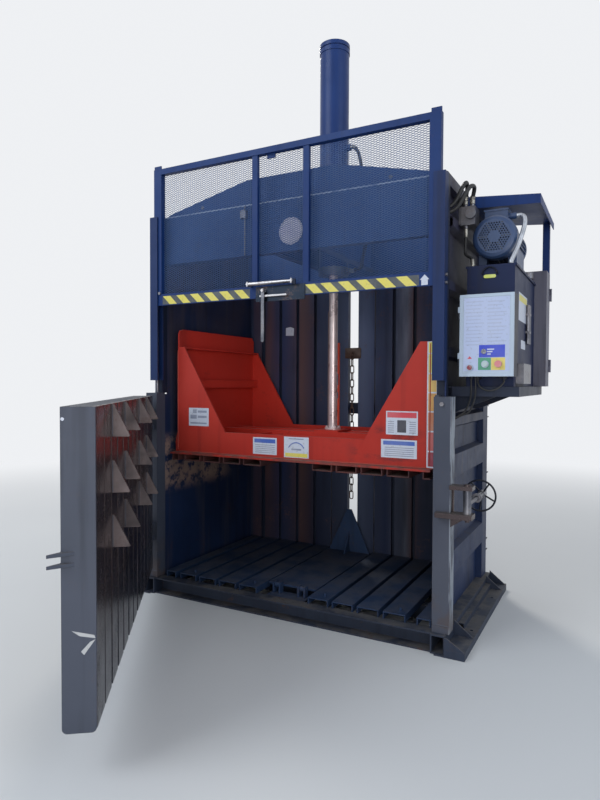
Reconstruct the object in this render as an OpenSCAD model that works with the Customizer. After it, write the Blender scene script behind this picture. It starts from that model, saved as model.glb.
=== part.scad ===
// Vertical downstroke recycling baler: a welded chamber with a hinged bale door, a sliding
// mesh feed gate, a platen on a hydraulic ram and a power unit on the right-hand side.
// X runs to the machine's right, Y to its back and Z up. The origin is on the ground at the
// middle of the four anchor holes. Lengths are millimetres.

/* [Chamber] */
// Clear width between the side walls
chamber_w = 1829; // [1700:1:1900]
// Depth from the front of the door posts to the face of the rear wall
chamber_d = 1100; // [1080:5:1140]
// Height of the door posts above the ground
post_h = 1300; // [1260:5:1330]
// Width of a door post across the machine
post_w = 90; // [80:1:100]
// Depth of a door post
post_d = 80; // [70:1:90]
// Wall of the posts and rails
tube_t = 8; // [5:1:10]
// Height of the side walls above the ground
wall_h = 2455; // [2420:5:2500]
// Thickness of a side wall sheet
sheet_t = 8; // [5:1:10]
// How far the wall ribs stand out from the sheet
rib_d = 38; // [30:1:40]
// Height of the lower edge of the header
header_z = 2147; // [2130:1:2180]

/* [Base] */
// Height of the base beams
beam_h = 100; // [90:1:110]
// Flange width of the base beams
beam_d = 80; // [70:1:90]
// Width of a side base rail
rail_w = 76; // [70:1:80]
// Width of a foot channel
foot_w = 104; // [96:1:120]
// Height of a foot channel
foot_h = 40; // [30:1:50]
// Diameter of an anchor hole
anchor_d = 18; // [14:1:24]
// Distance between the two anchor holes of one foot
anchor_pitch = 575; // [500:5:620]

/* [Channels] */
// Width of a floor, wall or platen channel
channel_w = 127; // [120:1:132]
// Depth of those channels
channel_h = 40; // [34:1:44]
// Thickness of those channels
channel_t = 6; // [4:1:8]
// Pitch of the channels, which leaves a tie slot between two of them
channel_pitch = 152.4; // [150:0.2:154]
// Width of the rear wall's middle slot, where the lift chain hangs
chain_slot = 80; // [70:1:80]
// Width of the bay between the middle channels of the floor
bay_w = 350; // [345:1:356]
// Width of the narrow channel at each side wall
narrow_w = 76; // [70:1:80]

/* [Gate] */
// Height of the feed gate
gate_h = 875; // [850:5:900]
// Height of the gate's lower edge at rest, when it is raised
gate_z = 1872; // [1860:1:1890]
// Width of a gate stile
stile_w = 60; // [50:1:64]
// Depth of the guide tracks
track_d = 60; // [55:1:64]
// Height of the striped bar along the gate's lower edge
bar_h = 74; // [60:1:80]
// Width of the two dividers
divider_w = 37; // [30:1:45]
// Distance of a divider from the middle
divider_x = 170; // [150:5:250]

/* [Platen] */
// Height of the platen's underside at rest
platen_z = 867; // [850:1:880]
// Thickness of the platen's plates
platen_t = 12; // [8:1:14]
// Height of the platen's aprons
apron_h = 140; // [120:1:150]
// Height of the wings above the base plate
wing_h = 681; // [640:1:700]
// Extra height of the left side plate above its shelf
wing_extra = 130; // [100:1:140]
// Reach of a wing gusset at its foot
gusset_reach = 460; // [400:5:500]
// Diameter of the ram rod
rod_d = 60; // [50:1:70]
// Outer diameter of the cylinder barrel
barrel_d = 196; // [180:1:210]
// Wall of the barrel
barrel_t = 13; // [10:1:16]
// Height of the top of the cylinder
barrel_top = 3656; // [3600:1:3700]
// Distance of the ram axis from the front of the posts
ram_y = 750; // [735:1:760]

/* [Door] */
// Width of the bale door
door_w = 1860; // [1845:1:1880]
// Height of the bale door
door_h = 1125; // [1100:1:1130]
// Height of the door's lower edge above the ground
door_z = 165; // [160:1:180]
// Depth of the door
door_t = 116; // [106:1:120]
// Angle by which the door stands open at rest
door_open = 54; // [45:0.5:70]
// Height of a bale retaining tooth
tooth_h = 130; // [110:1:140]
// Reach of a tooth into the chamber
tooth_reach = 68; // [50:1:72]
// Thickness of a tooth
tooth_t = 10; // [6:1:14]
// Diameter of the door's hinge pins
hinge_pin_d = 25; // [20:1:30]

/* [Latch] */
// Radius of the handwheel
wheel_r = 88; // [80:1:92]
// Diameter of the threaded latch rod
latch_rod_d = 20; // [18:1:24]
// Distance of the latch pin from the outer face of the post
latch_out = 84; // [76:1:95]
// Distance of the handwheel's rim from the latch pin
wheel_reach = 300; // [290:1:320]

/* [Power unit] */
// Width of the oil tank
tank_w = 240; // [230:1:260]
// Length of the oil tank
tank_l = 750; // [730:5:760]
// Height of the top of the tank above the ground
tank_top = 1990; // [1975:1:2000]
// Height of the shelf that carries the power unit
shelf_z = 1360; // [1350:1:1370]
// Diameter of the motor's fan cover
motor_d = 230; // [220:1:236]
// Width of the control box
box_w = 265; // [240:1:270]
// Height of the control box
box_h = 414; // [390:1:420]
// Depth of the control box with its door
box_d = 120; // [100:1:125]

/* [Hidden] */
$fn = 48;

// Running clearance between sliding parts and the seat gap of parts on different bodies
gap = 0.3;
// Half the clear width, and the outer faces of the parts at the sides
cw = chamber_w / 2;
post_x = cw + post_w;
side_x = cw + sheet_t + rib_d;
rail_x = cw + rail_w;
foot_x = rail_x + foot_w;
floor_z = beam_h + channel_h;
foot_y = [-47, chamber_d + 56];
rear_y = chamber_d + channel_h;
rear_post_y = chamber_d - 90;
// The middle of the anchor holes lies this far behind the front of the posts
anchor_y = 552;
anchor_x = foot_x - foot_w / 3;
beam_front = -17;
floor_front = beam_front + beam_d - 18;
// Centres of the four full channels beside the middle bay, and of the two narrow ones
function channel_x(k) = bay_w / 2 + channel_w / 2 + k * channel_pitch;
channel_edge = channel_x(3) + channel_w / 2;
// Clearance of the narrow channels from the left and the right side wall
wall_gap = [43.3, 17.3];
narrow_in = [cw - wall_gap[0] - narrow_w, cw - wall_gap[1] - narrow_w];
narrow_left = -(narrow_in[0] + narrow_w / 2);
narrow_right = narrow_in[1] + narrow_w / 2;
// Gate and its guides
track_y = -5;
track_t = 6;
track_x = [cw - 10, cw + 50];
stile_y = [track_y + track_t + 5, track_y + track_d - track_t - 5];
stile_in = cw - 36;
stile_out = stile_in + stile_w;
gate_top = gate_z + gate_h;
gate_rail = 36;
mesh_y = (stile_y[0] + stile_y[1]) / 2;
mesh_t = 3;
gate_rod_x = stile_out - 8;
gate_rod_d = 12;
// Header
post_up_y = [track_y + track_d, 105];
header_y = 76;
header_t = 8;
gable_y = 122;
gable_t = 10;
gable_top = 2620;
gable_end = wall_h + 25;
gable_flat = 300;
beam_in = 130;
beam_x = [beam_in, beam_in + 60];
beam_zz = [header_z + 33, header_z + 273];
mount_t = 25;
mount_y = [ram_y - 150, ram_y + 135];
flange_r = 132;
flange_h = 25;
gland_z = header_z - 37;
gland_h = 50;
port_out = 24;
bore_r = barrel_d / 2 - barrel_t;
hose_port_z = barrel_top - 696;
// Platen
plate_z = platen_z + channel_h;
base_z = plate_z + platen_t;
apron_z = base_z + apron_h;
platen_y = [85, chamber_d - 40];
wing_x = cw - 60;
wing_y = [platen_y[0] + 57, platen_y[1] - 3];
wing_z = base_z + wing_h;
shoe_x = cw - 40;
wing_top_w = 45;
foot_flange = 15;
rod_len = 1455;
piston_l = 80;
rod_z = apron_z + foot_flange;
slot_bar = [-75, -35, 930, 940];
thin_bar = [-112, 915, 7];
// Door, its hinge and its teeth
door_back = -5;
door_face = door_back - door_t;
door_x = door_w / 2;
bar_t = 16;
hinge_x = -(door_x + 28);
hinge_y = door_back - 35;
hinge_r = 22;
hinge_z = [door_z + 175, door_z + door_h - 225];
door_beam_h = 90;
tooth_z = [door_z + 552, door_z + 770, door_z + 993];
tooth_x = [-585, -250, 250, 585];
// Latch
latch_x = post_x + latch_out;
latch_z = 770;
latch_low = 725;
latch_high = 845;
latch_pin_r = 11;
sleeve_r = 20;
plate_in = door_x + 5;
// Ejector
ejector_y = 150;
ejector_z = beam_h + 40;
ejector_w = bay_w - 22;
kicker_h = 310;
kicker_y = chamber_d - 60;
// Power unit
tank_x = post_x + 26;
tank_y = 200;
motor_x = tank_x + tank_w / 2 - 4;
motor_z = tank_top + motor_d / 2 + 52;
motor_y = 295;
motor_l = 430;
box_x = tank_x + tank_w / 2 + 4;
box_z = shelf_z + 51;
box_y = tank_y - box_d;
door_sheet = 14;
cabinet_y = tank_y + tank_l + 10;
cabinet_x = [tank_x + 20, tank_x + tank_w + 70];
cabinet_z = [shelf_z, tank_top + 80];
cabinet_d = 160;
fan_r = motor_d / 2 - 18;

// Puts a shape drawn from the front of the posts into the frame of the anchor holes
module place() {
    translate([0, -anchor_y, 0]) children();
}

// A block between two opposite corners
module slab(a, b) {
    translate(a) cube(b - a);
}

// The same shape on both sides of the machine
module both_sides() {
    children();
    mirror([1, 0, 0]) children();
}

// A round bar along Z
module post_bar(x, y, z, d, h) {
    translate([x, y, z]) cylinder(d = d, h = h);
}

// A plate outline in X and Z, of thickness t, with its front face at y
module front_plate(y, t) {
    translate([0, y + t, 0]) rotate([90, 0, 0]) linear_extrude(t) children();
}

// A plate outline in Y and Z, of thickness t, with its left face at x
module side_plate(x, t) {
    translate([x, 0, 0]) rotate([90, 0, 90]) linear_extrude(t) children();
}

// A square tube along Z with its wall
module square_tube(a, b, t) {
    difference() {
        slab(a, b);
        slab([a[0] + t, a[1] + t, a[2] - 1], [b[0] - t, b[1] - t, b[2] + 1]);
    }
}

// A channel along Y from y0 to y1 with its web up and its two flanges down
module channel_y(x, w, z, y0, y1) {
    difference() {
        slab([x - w / 2, y0, z], [x + w / 2, y1, z + channel_h]);
        slab([x - w / 2 + channel_t, y0 - 1, z - 1],
             [x + w / 2 - channel_t, y1 + 1, z + channel_h - channel_t]);
    }
}

// The channel pattern that the floor, the rear wall and the platen share
module channel_pattern() {
    for (k = [0:3], s = [-1, 1])
        translate([s * channel_x(k), 0, 0]) children(0);
    translate([narrow_left, 0, 0]) children(1);
    translate([narrow_right, 0, 0]) children(1);
}

// A tube of diameter d swept along points, as one closed solid with n sides
function unit(v) = v / norm(v);
function sweep_side(t) = unit(cross(t, abs(t[2]) < 0.9 ? [0, 0, 1] : [0, 1, 0]));
function sweep_dir(p, i) =
    unit(p[min(i + 1, len(p) - 1)] - p[max(i - 1, 0)]);
function carry_side(p, i) =
    i == 0 ? sweep_side(sweep_dir(p, 0))
           : let (s = carry_side(p, i - 1), t = sweep_dir(p, i)) unit(s - t * (s * t));
module sweep_tube(p, d, n = 8) {
    ends = [for (i = [0:len(p) - 1])
        let (t = sweep_dir(p, i), s = carry_side(p, i), u = cross(t, s))
        for (k = [0:n - 1])
            p[i] + d / 2 * (cos(360 * k / n) * s + sin(360 * k / n) * u)];
    walls = [for (i = [0:len(p) - 2], k = [0:n - 1])
        [i * n + k, (i + 1) * n + k, (i + 1) * n + (k + 1) % n, i * n + (k + 1) % n]];
    first = [for (k = [0:n - 1]) k];
    last = [for (k = [n - 1:-1:0]) (len(p) - 1) * n + k];
    polyhedron(points = ends, faces = concat(walls, [first, last]), convexity = 6);
}

// A smooth curve through hand-picked points, m steps between two of them, straight at its ends
function bend(p, i, s) =
    let (a = p[max(i - 1, 0)], b = p[i], c = p[i + 1], d = p[min(i + 2, len(p) - 1)])
    0.5 * (2 * b + (c - a) * s + (2 * a - 5 * b + 4 * c - d) * s * s
           + (3 * b - a - 3 * c + d) * s * s * s);
function smooth(p, m = 4) =
    let (n = len(p) - 1,
         q = concat([p[0], (p[0] + p[1]) / 2], [for (i = [1:n - 1]) p[i]], [(p[n - 1] + p[n]) / 2, p[n]]))
    concat([for (i = [0:len(q) - 2], j = [0:m - 1]) bend(q, i, j / m)], [q[len(q) - 1]]);

// Base: a front and a rear beam between two side rails, with two bearers under the floor
module base_beam(y0, out) {
    difference() {
        slab([-cw, y0, 0], [cw, y0 + beam_d, beam_h]);
        slab([-cw - 1, out > 0 ? y0 + tube_t : y0 - 1, tube_t],
             [cw + 1, out > 0 ? y0 + beam_d + 1 : y0 + beam_d - tube_t, beam_h - tube_t]);
    }
}

module base_frame() place() color("#23262c") {
    base_beam(beam_front, -1);
    base_beam(rear_y - beam_d, 1);
    for (y = [chamber_d / 3, 2 * chamber_d / 3])
        slab([-cw, y - 30, 20], [cw, y + 30, beam_h]);
    both_sides() difference() {
        slab([cw, -30, 0], [rail_x, foot_y[1], beam_h]);
        slab([cw + tube_t, -31, tube_t], [rail_x - tube_t, foot_y[1] + 1, beam_h - tube_t]);
    }
}

// Feet: a channel laid flat outside each rail, with anchor holes, gussets and a square bar
module gusset(y) {
    front_plate(y, tube_t)
        polygon([[rail_x, foot_h], [foot_x - 4, foot_h], [rail_x, beam_h + 20]]);
}

module foot_channels() place() color("#2b2e33") both_sides() {
    difference() {
        slab([rail_x, foot_y[0], 0], [foot_x, foot_y[1], foot_h]);
        slab([rail_x + tube_t, foot_y[0] + tube_t, -1],
             [foot_x - tube_t, foot_y[1] - tube_t, foot_h - tube_t]);
        for (s = [-1, 1])
            post_bar(anchor_x, anchor_y + s * anchor_pitch / 2, -1, anchor_d, foot_h + 2);
    }
    for (s = [-1, 1])
        translate([anchor_x, anchor_y + s * anchor_pitch / 2, 0]) difference() {
            cylinder(d = anchor_d + 12, h = foot_h - tube_t);
            translate([0, 0, -1]) cylinder(d = anchor_d, h = foot_h);
        }
    front_plate(foot_y[0] + 1, tube_t)
        polygon([[cw + 24, 0], [foot_x, 0], [foot_x, foot_h], [rail_x + 12, beam_h - 2],
                 [rail_x, beam_h - 2], [rail_x, 8], [cw + 24, 8]]);
    for (y = [160, chamber_d - 95, chamber_d + 30])
        gusset(y);
    difference() {
        slab([rail_x, 255, foot_h], [rail_x + 32, chamber_d - 96, foot_h + 32]);
        slab([rail_x + 5, 250, foot_h + 5], [rail_x + 27, chamber_d, foot_h + 27]);
    }
}

// Floor: inverted channels from front to back with tie slots between them, and weld studs
module floor_channels() place() color("#3f4d5c") {
    channel_pattern() {
        channel_y(0, channel_w, beam_h, floor_front, chamber_d);
        channel_y(0, narrow_w, beam_h, floor_front, chamber_d);
    }
    for (x = [-channel_x(3), -channel_x(0), channel_x(0), channel_x(3)])
        post_bar(x + 20, floor_front + 55, floor_z, 14, 18);
}

// Door posts: square tubes on the rails with cap plates. The left cap has a stop ring round
// the hole that the gate's rod runs through.
module door_posts() place() color("#3a4250") {
    both_sides() square_tube([cw, 0, beam_h], [post_x, post_d, post_h], tube_t);
    difference() {
        both_sides() slab([cw, 0, post_h], [post_x, post_d, post_h + tube_t]);
        translate([-gate_rod_x, mesh_y, post_h - 1]) cylinder(d = gate_rod_d + 4, h = tube_t + 2);
    }
    difference() {
        post_bar(-gate_rod_x, mesh_y, post_h + tube_t, 30, 8);
        post_bar(-gate_rod_x, mesh_y, post_h + tube_t - 1, gate_rod_d + 4, 10);
    }
    slab([stile_in + 40, stile_y[0], post_h + tube_t],
         [stile_out, stile_y[1], post_h + tube_t + 8]);
}

// Upper posts behind the gate tracks, standing on the door posts
module upper_posts() place() color("#2b3a55") both_sides()
    square_tube([cw, post_up_y[0], post_h + tube_t], [side_x, post_up_y[1], wall_h], 5);

// Rear corner posts
module rear_posts() place() color("#1d2634") both_sides()
    square_tube([cw, rear_post_y, beam_h], [side_x, rear_y + 6, wall_h], 6);

// Side walls: a sheet with pressed hat ribs welded across its outside and a top rail
module hat_rib(z, h, y0, y1) {
    slope = 16;
    t = 5;
    translate([cw + sheet_t, y1, z]) rotate([90, 0, 0]) linear_extrude(y1 - y0)
        polygon([[0, 0], [rib_d, slope], [rib_d, h - slope], [0, h], [0, h - 1.4 * t],
                 [rib_d - t, h - slope - 0.7 * t], [rib_d - t, slope + 0.7 * t], [0, 1.4 * t]]);
}

rib_rows = [[320, 160], [848, 156], [1130, 80], [1500, 80], [1850, 80], [2190, 80]];

module side_wall(hose_hole) {
    difference() {
        slab([cw, post_d, beam_h], [cw + sheet_t, rear_post_y, wall_h]);
        slab([cw - 1, post_d - 1, post_h], [cw + sheet_t + 1, post_up_y[1], wall_h + 1]);
        if (hose_hole)
            translate([cw - 1, hose_wall_y + 10, hose_z]) rotate([0, 90, 0])
                cylinder(r = 32, h = sheet_t + 2);
    }
    for (r = rib_rows)
        hat_rib(r[0], r[1], r[0] > post_h ? post_up_y[1] + (r[0] > 2100 ? 75 : 0) : post_d,
                rear_post_y);
    slab([cw + sheet_t, post_up_y[1], wall_h - 60], [side_x, rear_post_y, wall_h]);
}

module side_wall_left() place() color("#27344c") mirror([1, 0, 0]) side_wall(false);

module side_wall_right() place() color("#27344c") side_wall(true);

// Rear wall: upright channels with tie slots that line up with the floor's
module wall_channel(w) {
    difference() {
        slab([-w / 2, chamber_d, beam_h], [w / 2, rear_y, header_z]);
        slab([-w / 2 + channel_t, chamber_d + channel_t, beam_h - 1],
             [w / 2 - channel_t, rear_y + 1, header_z + 1]);
    }
}

module rear_channels() place() color("#1c3355") {
    channel_pattern() {
        wall_channel(channel_w);
        wall_channel(narrow_w);
    }
    for (s = [-1, 1])
        translate([s * (chain_slot + channel_w) / 2, 0, 0]) wall_channel(channel_w);
}

// Ribs across the back, and flat bars that close the tie slots behind the ties
module rear_ribs() place() color("#1d2634") {
    for (s = [-1, 1], k = [0:2])
        slot_bar_at(s * channel_x(k) + s * channel_w / 2, s * channel_x(k + 1) - s * channel_w / 2);
    slot_bar_at(-narrow_in[0], -channel_edge);
    slot_bar_at(channel_edge, narrow_in[1]);
    for (z = [250, 700, 1150, 1560, header_z - 80])
        difference() {
            slab([-side_x, rear_y, z], [side_x, rear_y + 50, z + 80]);
            slab([-side_x - 1, rear_y + 6, z + 6], [side_x + 1, rear_y + 51, z + 74]);
            both_sides() slab([cw, rear_y - 1, z - 1], [side_x + 1, rear_y + 6, z + 81]);
        }
}

module slot_bar_at(x0, x1)
    slab([min(x0, x1), rear_y - 7, beam_h], [max(x0, x1), rear_y - 2, header_z]);

// Header over the feed opening, folded from one plate, and the gable plates that carry the
// ram's load into the walls. The header carries a bare round badge.
module header_plate() place() color("#2b3f66") {
    slab([-cw, header_y, header_z], [cw, header_y + header_t, wall_h]);
    slab([-cw, header_y + header_t, wall_h - header_t], [cw, gable_y, wall_h]);
    slab([-cw, header_y + header_t, header_z], [cw, gable_y, header_z + header_t]);
    color("#b9a9a6") translate([14, header_y, header_z + 131]) rotate([90, 0, 0])
        cylinder(r = 95, h = 2);
}

module gable_outline() {
    polygon([[-cw, header_z], [cw, header_z], [cw, gable_end], [gable_flat, gable_top],
             [-gable_flat, gable_top], [-cw, gable_end]]);
}

module gable_plates() place() color("#22345a") {
    difference() {
        front_plate(gable_y, gable_t) gable_outline();
        translate([hose_gable_x, gable_y - 1, hose_z + 30]) rotate([-90, 0, 0])
            cylinder(r = 42, h = gable_t + 2);
        slab([cw - 66, gable_y - 1, hose_z - 40], [cw + 1, gable_y + gable_t + 1, hose_z + 44]);
    }
    front_plate(chamber_d - gable_t, gable_t) gable_outline();
}

// Two channels from gable to gable carry the cylinder on a thick plate
module cylinder_beams() place() color("#22345a") {
    both_sides() difference() {
        slab([beam_x[0], gable_y + gable_t, beam_zz[0]],
             [beam_x[1], chamber_d - gable_t, beam_zz[1]]);
        slab([beam_x[0] + 8, gable_y, beam_zz[0] + 10], [beam_x[1] + 1, chamber_d, beam_zz[1] - 10]);
    }
    difference() {
        slab([-beam_x[1], mount_y[0], beam_zz[1]], [beam_x[1], mount_y[1], beam_zz[1] + mount_t]);
        post_bar(0, ram_y, beam_zz[1] - 1, barrel_d + 4, mount_t + 2);
    }
}

// Cylinder: barrel with its end cap, mounting flange, port boss and flange bolts
module cylinder_barrel() place() color("#141c2e") {
    seat = beam_zz[1] + mount_t;
    difference() {
        union() {
            post_bar(0, ram_y, gland_z + gland_h, barrel_d, barrel_top - 56 - gland_z - gland_h);
            post_bar(0, ram_y, barrel_top - 62, barrel_d + 8, 28);
            post_bar(0, ram_y, barrel_top - 36, barrel_d - 4, 12);
            post_bar(0, ram_y, barrel_top - 26, barrel_d + 8, 26);
            post_bar(0, ram_y, seat, 2 * flange_r, flange_h);
            translate([0, ram_y, hose_port_z]) rotate([0, 90, 0])
                cylinder(d = 44, h = barrel_d / 2 + port_out);
        }
        post_bar(0, ram_y, gland_z, 2 * bore_r, barrel_top - 56 - gland_z);
        translate([bore_r - 8, ram_y, hose_port_z]) rotate([0, 90, 0]) cylinder(d = 18, h = 60);
    }
    for (k = [0:7])
        translate([0, ram_y, seat + flange_h]) rotate([0, 0, 22.5 + 45 * k])
            translate([flange_r - 18, 0, 0]) cylinder(d = 26, h = 14, $fn = 6);
}

module cylinder_gland() place() color("#30343b") difference() {
    union() {
        post_bar(0, ram_y, gland_z, barrel_d + 10, gland_h);
        translate([0, ram_y, gland_z + gland_h / 2]) rotate([0, 90, 0])
            cylinder(d = 34, h = barrel_d / 2 + port_out);
    }
    post_bar(0, ram_y, gland_z - 1, rod_d + 2 * gap, gland_h + 2);
    translate([rod_d, ram_y, gland_z + gland_h / 2]) rotate([0, 90, 0])
        cylinder(d = 14, h = barrel_d);
}

// Gate tracks: channels open to the middle, welded to the upper posts
module gate_tracks() place() color("#2a3d63") both_sides() {
    difference() {
        slab([track_x[0], track_y, post_h + 90], [track_x[1], track_y + track_d, wall_h - 12]);
        slab([track_x[0] - 1, track_y + track_t, post_h + 89],
             [track_x[1] - track_t, track_y + track_d - track_t, wall_h]);
    }
    slab([track_x[1] - track_t, track_y + track_d - 12, post_h + tube_t],
         [track_x[1], track_y + track_d, post_h + 90]);
}

// Limit switch on the header with its lever and cable
module limit_switch() place() color("#8f9499") {
    slab([-300, header_y - 26, wall_h - 85], [-262, header_y, wall_h - 37]);
    translate([-281, header_y - 13, wall_h - 38]) rotate([0, 20, 0]) cylinder(d = 9, h = 34);
    post_bar(-275, header_y - 12, header_z, 8, wall_h - 84 - header_z);
}

// Hexagon bolts of the frame: gable, track clamps and the right post
module hex_bolt(p, d = 22, h = 9) {
    translate(p) rotate([90, 0, 0]) cylinder(d = d, h = h, $fn = 6);
}

module frame_bolts() place() color("#6a6d70") {
    for (x = [-632, 632])
        hex_bolt([x, gable_y, wall_h + 40]);
    hex_bolt([post_x - 48, 0, post_h - 30], 24, 8);
    both_sides() for (z = [1885, 1925])
        translate([track_x[1], 20, z]) rotate([0, 90, 0])
            cylinder(d = 20, h = 9, $fn = 6);
}

// Feed gate: stiles in the tracks, a top rail, two dividers and a striped lower bar
module gate_frame() place() color("#2d426b") {
    both_sides() {
        slab([stile_in, stile_y[0], gate_z], [stile_out, stile_y[1], gate_top]);
        slab([divider_x - divider_w / 2, stile_y[0] + 4, gate_z + bar_h],
             [divider_x + divider_w / 2, stile_y[1] - 12, gate_top - gate_rail]);
        slab([stile_in + 6, stile_y[0] + 6, gate_top], [stile_out, stile_y[0] + 14, gate_top + 22]);
        for (z = [gate_z + 30, gate_z + 420])
            slab([stile_out, stile_y[0] + 4, z], [track_x[1] - track_t - gap, stile_y[1] - 4,
                 z + 90]);
    }
    slab([-stile_in, stile_y[0], gate_top - gate_rail], [stile_in, stile_y[1], gate_top]);
    difference() {
        slab([-stile_in, stile_y[0], gate_z], [stile_in, stile_y[1], gate_z + bar_h]);
        slab([-stile_in + 1, stile_y[0] + 5, gate_z - 1],
             [stile_in - 1, stile_y[1] + 1, gate_z + bar_h - 6]);
    }
    slab([-95, stile_y[1] - 18, gate_top - gate_rail - 26],
         [-40, stile_y[1] - 12, gate_top - gate_rail]);
}

// Expanded metal behind the dividers, with staggered diamonds
mesh_cols = 10;
mesh_rows = 6;
module gate_mesh() place() color("#31456b") {
    w = 2 * stile_in;
    z0 = gate_z + bar_h;
    h = gate_h - bar_h - gate_rail;
    cell = [w / mesh_cols, h / mesh_rows];
    front_plate(stile_y[1] - 12, mesh_t) difference() {
        translate([-stile_in, z0]) square([w, h]);
        for (r = [0:2 * mesh_rows - 2], c = [0:mesh_cols - 1 - r % 2])
            translate([-stile_in + cell[0] * (c + 0.5 + 0.5 * (r % 2)),
                       z0 + cell[1] * (r + 1) / 2])
                polygon([[-0.43 * cell[0], 0], [0, -0.43 * cell[1]],
                         [0.43 * cell[0], 0], [0, 0.43 * cell[1]]]);
    }
}

// Gate handle: a round grip between two brackets over a back plate with a lower lip
module gate_handle() place() color("#a8a9aa") {
    y = stile_y[0];
    translate([-197, y - 40, gate_z + 80]) rotate([0, 90, 0]) cylinder(d = 20, h = 310);
    for (x = [-192, 102])
        slab([x, y - 52, gate_z + 66], [x + 8, y, gate_z + 94]);
    color("#20242b") slab([-155, y - 6, gate_z - 22], [170, y, gate_z + 66]);
    slab([-120, y - 22, gate_z + 4], [60, y - 6, gate_z + 14]);
    translate([pull_x, y - 6, pull_z]) rotate([90, 0, 0]) {
        cylinder(d = 22, h = 16);
        cylinder(d = 9.4, h = 30);
        translate([0, 0, 16 + 6 + 2 * gap]) cylinder(d = 19, h = 7, $fn = 6);
    }
}

// The interlock rod under the left stile runs into the door post as the gate comes down
module gate_rod() place() color("#4a4e55") {
    post_bar(-gate_rod_x, mesh_y, post_h - 12, gate_rod_d, gate_z - post_h + 12);
    translate([-stile_in - 13, stile_y[0], gate_z + 79]) rotate([90, 0, 0])
        cylinder(d = 20, h = 8, $fn = 6);
}

// The pull bar hangs from a bolt on the handle's plate
pull_x = -96;
pull_z = gate_z + 40;
pull_l = 290;
module pull_bar() place() color("#7a7c7e")
    front_plate(stile_y[0] - 22 - gap - 6, 6) translate([pull_x, pull_z]) difference() {
        union() {
            circle(d = 24);
            translate([-10, -pull_l]) square([20, pull_l]);
            translate([0, -pull_l]) circle(d = 20);
        }
        circle(d = 9.4 + 2 * gap);
    }

// Platen: a base plate with front and rear aprons
foot_x_in = wing_x - gusset_reach;
apron_x = foot_x_in + apron_h / wing_h * (gusset_reach - platen_t - wing_top_w);
module platen_base() place() color("#d9481f") {
    slab([-shoe_x, platen_y[0], plate_z], [shoe_x, platen_y[1], base_z]);
    for (y = [wing_y[0], wing_y[1] - platen_t])
        front_plate(y, platen_t)
            polygon([[-foot_x_in, base_z], [foot_x_in, base_z], [apron_x, apron_z],
                     [-apron_x, apron_z]]);
}

// Channels under the base plate, which press the bale and leave room for the ties
module platen_channels() place() color("#7c4a38") difference() {
    channel_pattern() {
        translate([0, 0, 2 * platen_z + channel_h]) mirror([0, 0, 1])
            channel_y(0, channel_w, platen_z, platen_y[0] + 4, platen_y[1] - 4);
        translate([0, 0, 2 * platen_z + channel_h]) mirror([0, 0, 1])
            channel_y(0, narrow_w - 24, platen_z, platen_y[0] + 4, platen_y[1] - 4);
    }
    slab([shoe_x, 0, 0], [2 * shoe_x, 2 * chamber_d, 2 * platen_z]);
    slab([-2 * shoe_x, 0, 0], [-shoe_x, 2 * chamber_d, 2 * platen_z]);
}

// Two cross channels and a seat plate carry the ram's foot
module platen_rails() place() color("#c9431f") {
    for (y = [ram_y - 110, ram_y + 50])
        difference() {
            slab([-wing_x + platen_t, y, base_z], [wing_x - platen_t, y + 60, apron_z - 12]);
            slab([-wing_x, y + 8, base_z - 1], [wing_x, y + 52, apron_z - 20]);
        }
    slab([-90, ram_y - 110, apron_z - 12], [90, ram_y + 110, apron_z]);
    for (x = [-430, 430])
        slab([x - 6, wing_y[0] + platen_t, base_z], [x + 6, ram_y - 110, apron_z - 30]);
    slab([-120, ram_y + 110, base_z], [-20, wing_y[1] - platen_t, apron_z - 12]);
}

// Wings: a side plate with a gusset at each end, a middle rib and a shoe
module wing_gusset(y) {
    front_plate(y, platen_t)
        polygon([[wing_x - platen_t, base_z], [foot_x_in, base_z],
                 [wing_x - platen_t - wing_top_w, wing_z], [wing_x - platen_t, wing_z]]);
}

module wing(extra) {
    side_plate(wing_x - platen_t, platen_t)
        polygon([[wing_y[0], base_z], [wing_y[1], base_z], [wing_y[1], wing_z + extra - 30],
                 [wing_y[1] - 24, wing_z + extra], [wing_y[0] + 40, wing_z + extra],
                 [wing_y[0] + 12, wing_z + extra - 8], [wing_y[0], wing_z + extra - 30]]);
    front_plate(wing_y[0], platen_t)
        polygon([[wing_x, base_z], [shoe_x, base_z], [shoe_x, base_z + 70],
                 [wing_x, base_z + 150]]);
}

module wing_inner() {
    difference() {
        slab([wing_x - platen_t - 44, wing_y[0] + platen_t, wing_z - 260],
             [wing_x - platen_t, wing_y[1] - platen_t, wing_z - 205]);
        slab([wing_x - platen_t - 36, wing_y[0], wing_z - 252],
             [wing_x - platen_t + 1, wing_y[1], wing_z - 213]);
    }
}

module wing_left() place() color("#df4a1e") mirror([1, 0, 0]) {
    wing(wing_extra);
    wing_gusset(wing_y[0]);
    wing_gusset(wing_y[1] - platen_t);
    wing_inner();
    slab([wing_x - platen_t - wing_top_w, wing_y[0], wing_z],
         [wing_x - platen_t, wing_y[1], wing_z + platen_t]);
}

module wing_right() place() color("#df4a1e") {
    wing(0);
    wing_gusset(wing_y[0]);
    wing_gusset(wing_y[1] - platen_t);
    wing_inner();
    slab([wing_x, wing_y[0], base_z], [wing_x + 36, wing_y[0] + 6, wing_z]);
}

// Ram rod with its foot flange, and the piston inside the barrel
module ram_rod() place() color("#cfd3d6") {
    post_bar(0, ram_y, apron_z, 110, foot_flange);
    post_bar(0, ram_y, rod_z, rod_d, rod_len - piston_l);
    post_bar(0, ram_y, rod_z + rod_len - piston_l, 2 * (bore_r - gap), piston_l);
    for (k = [0:3])
        translate([0, ram_y, rod_z]) rotate([0, 0, 45 + 90 * k]) translate([42, 0, 0])
            cylinder(d = 18, h = 10, $fn = 6);
}

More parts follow.
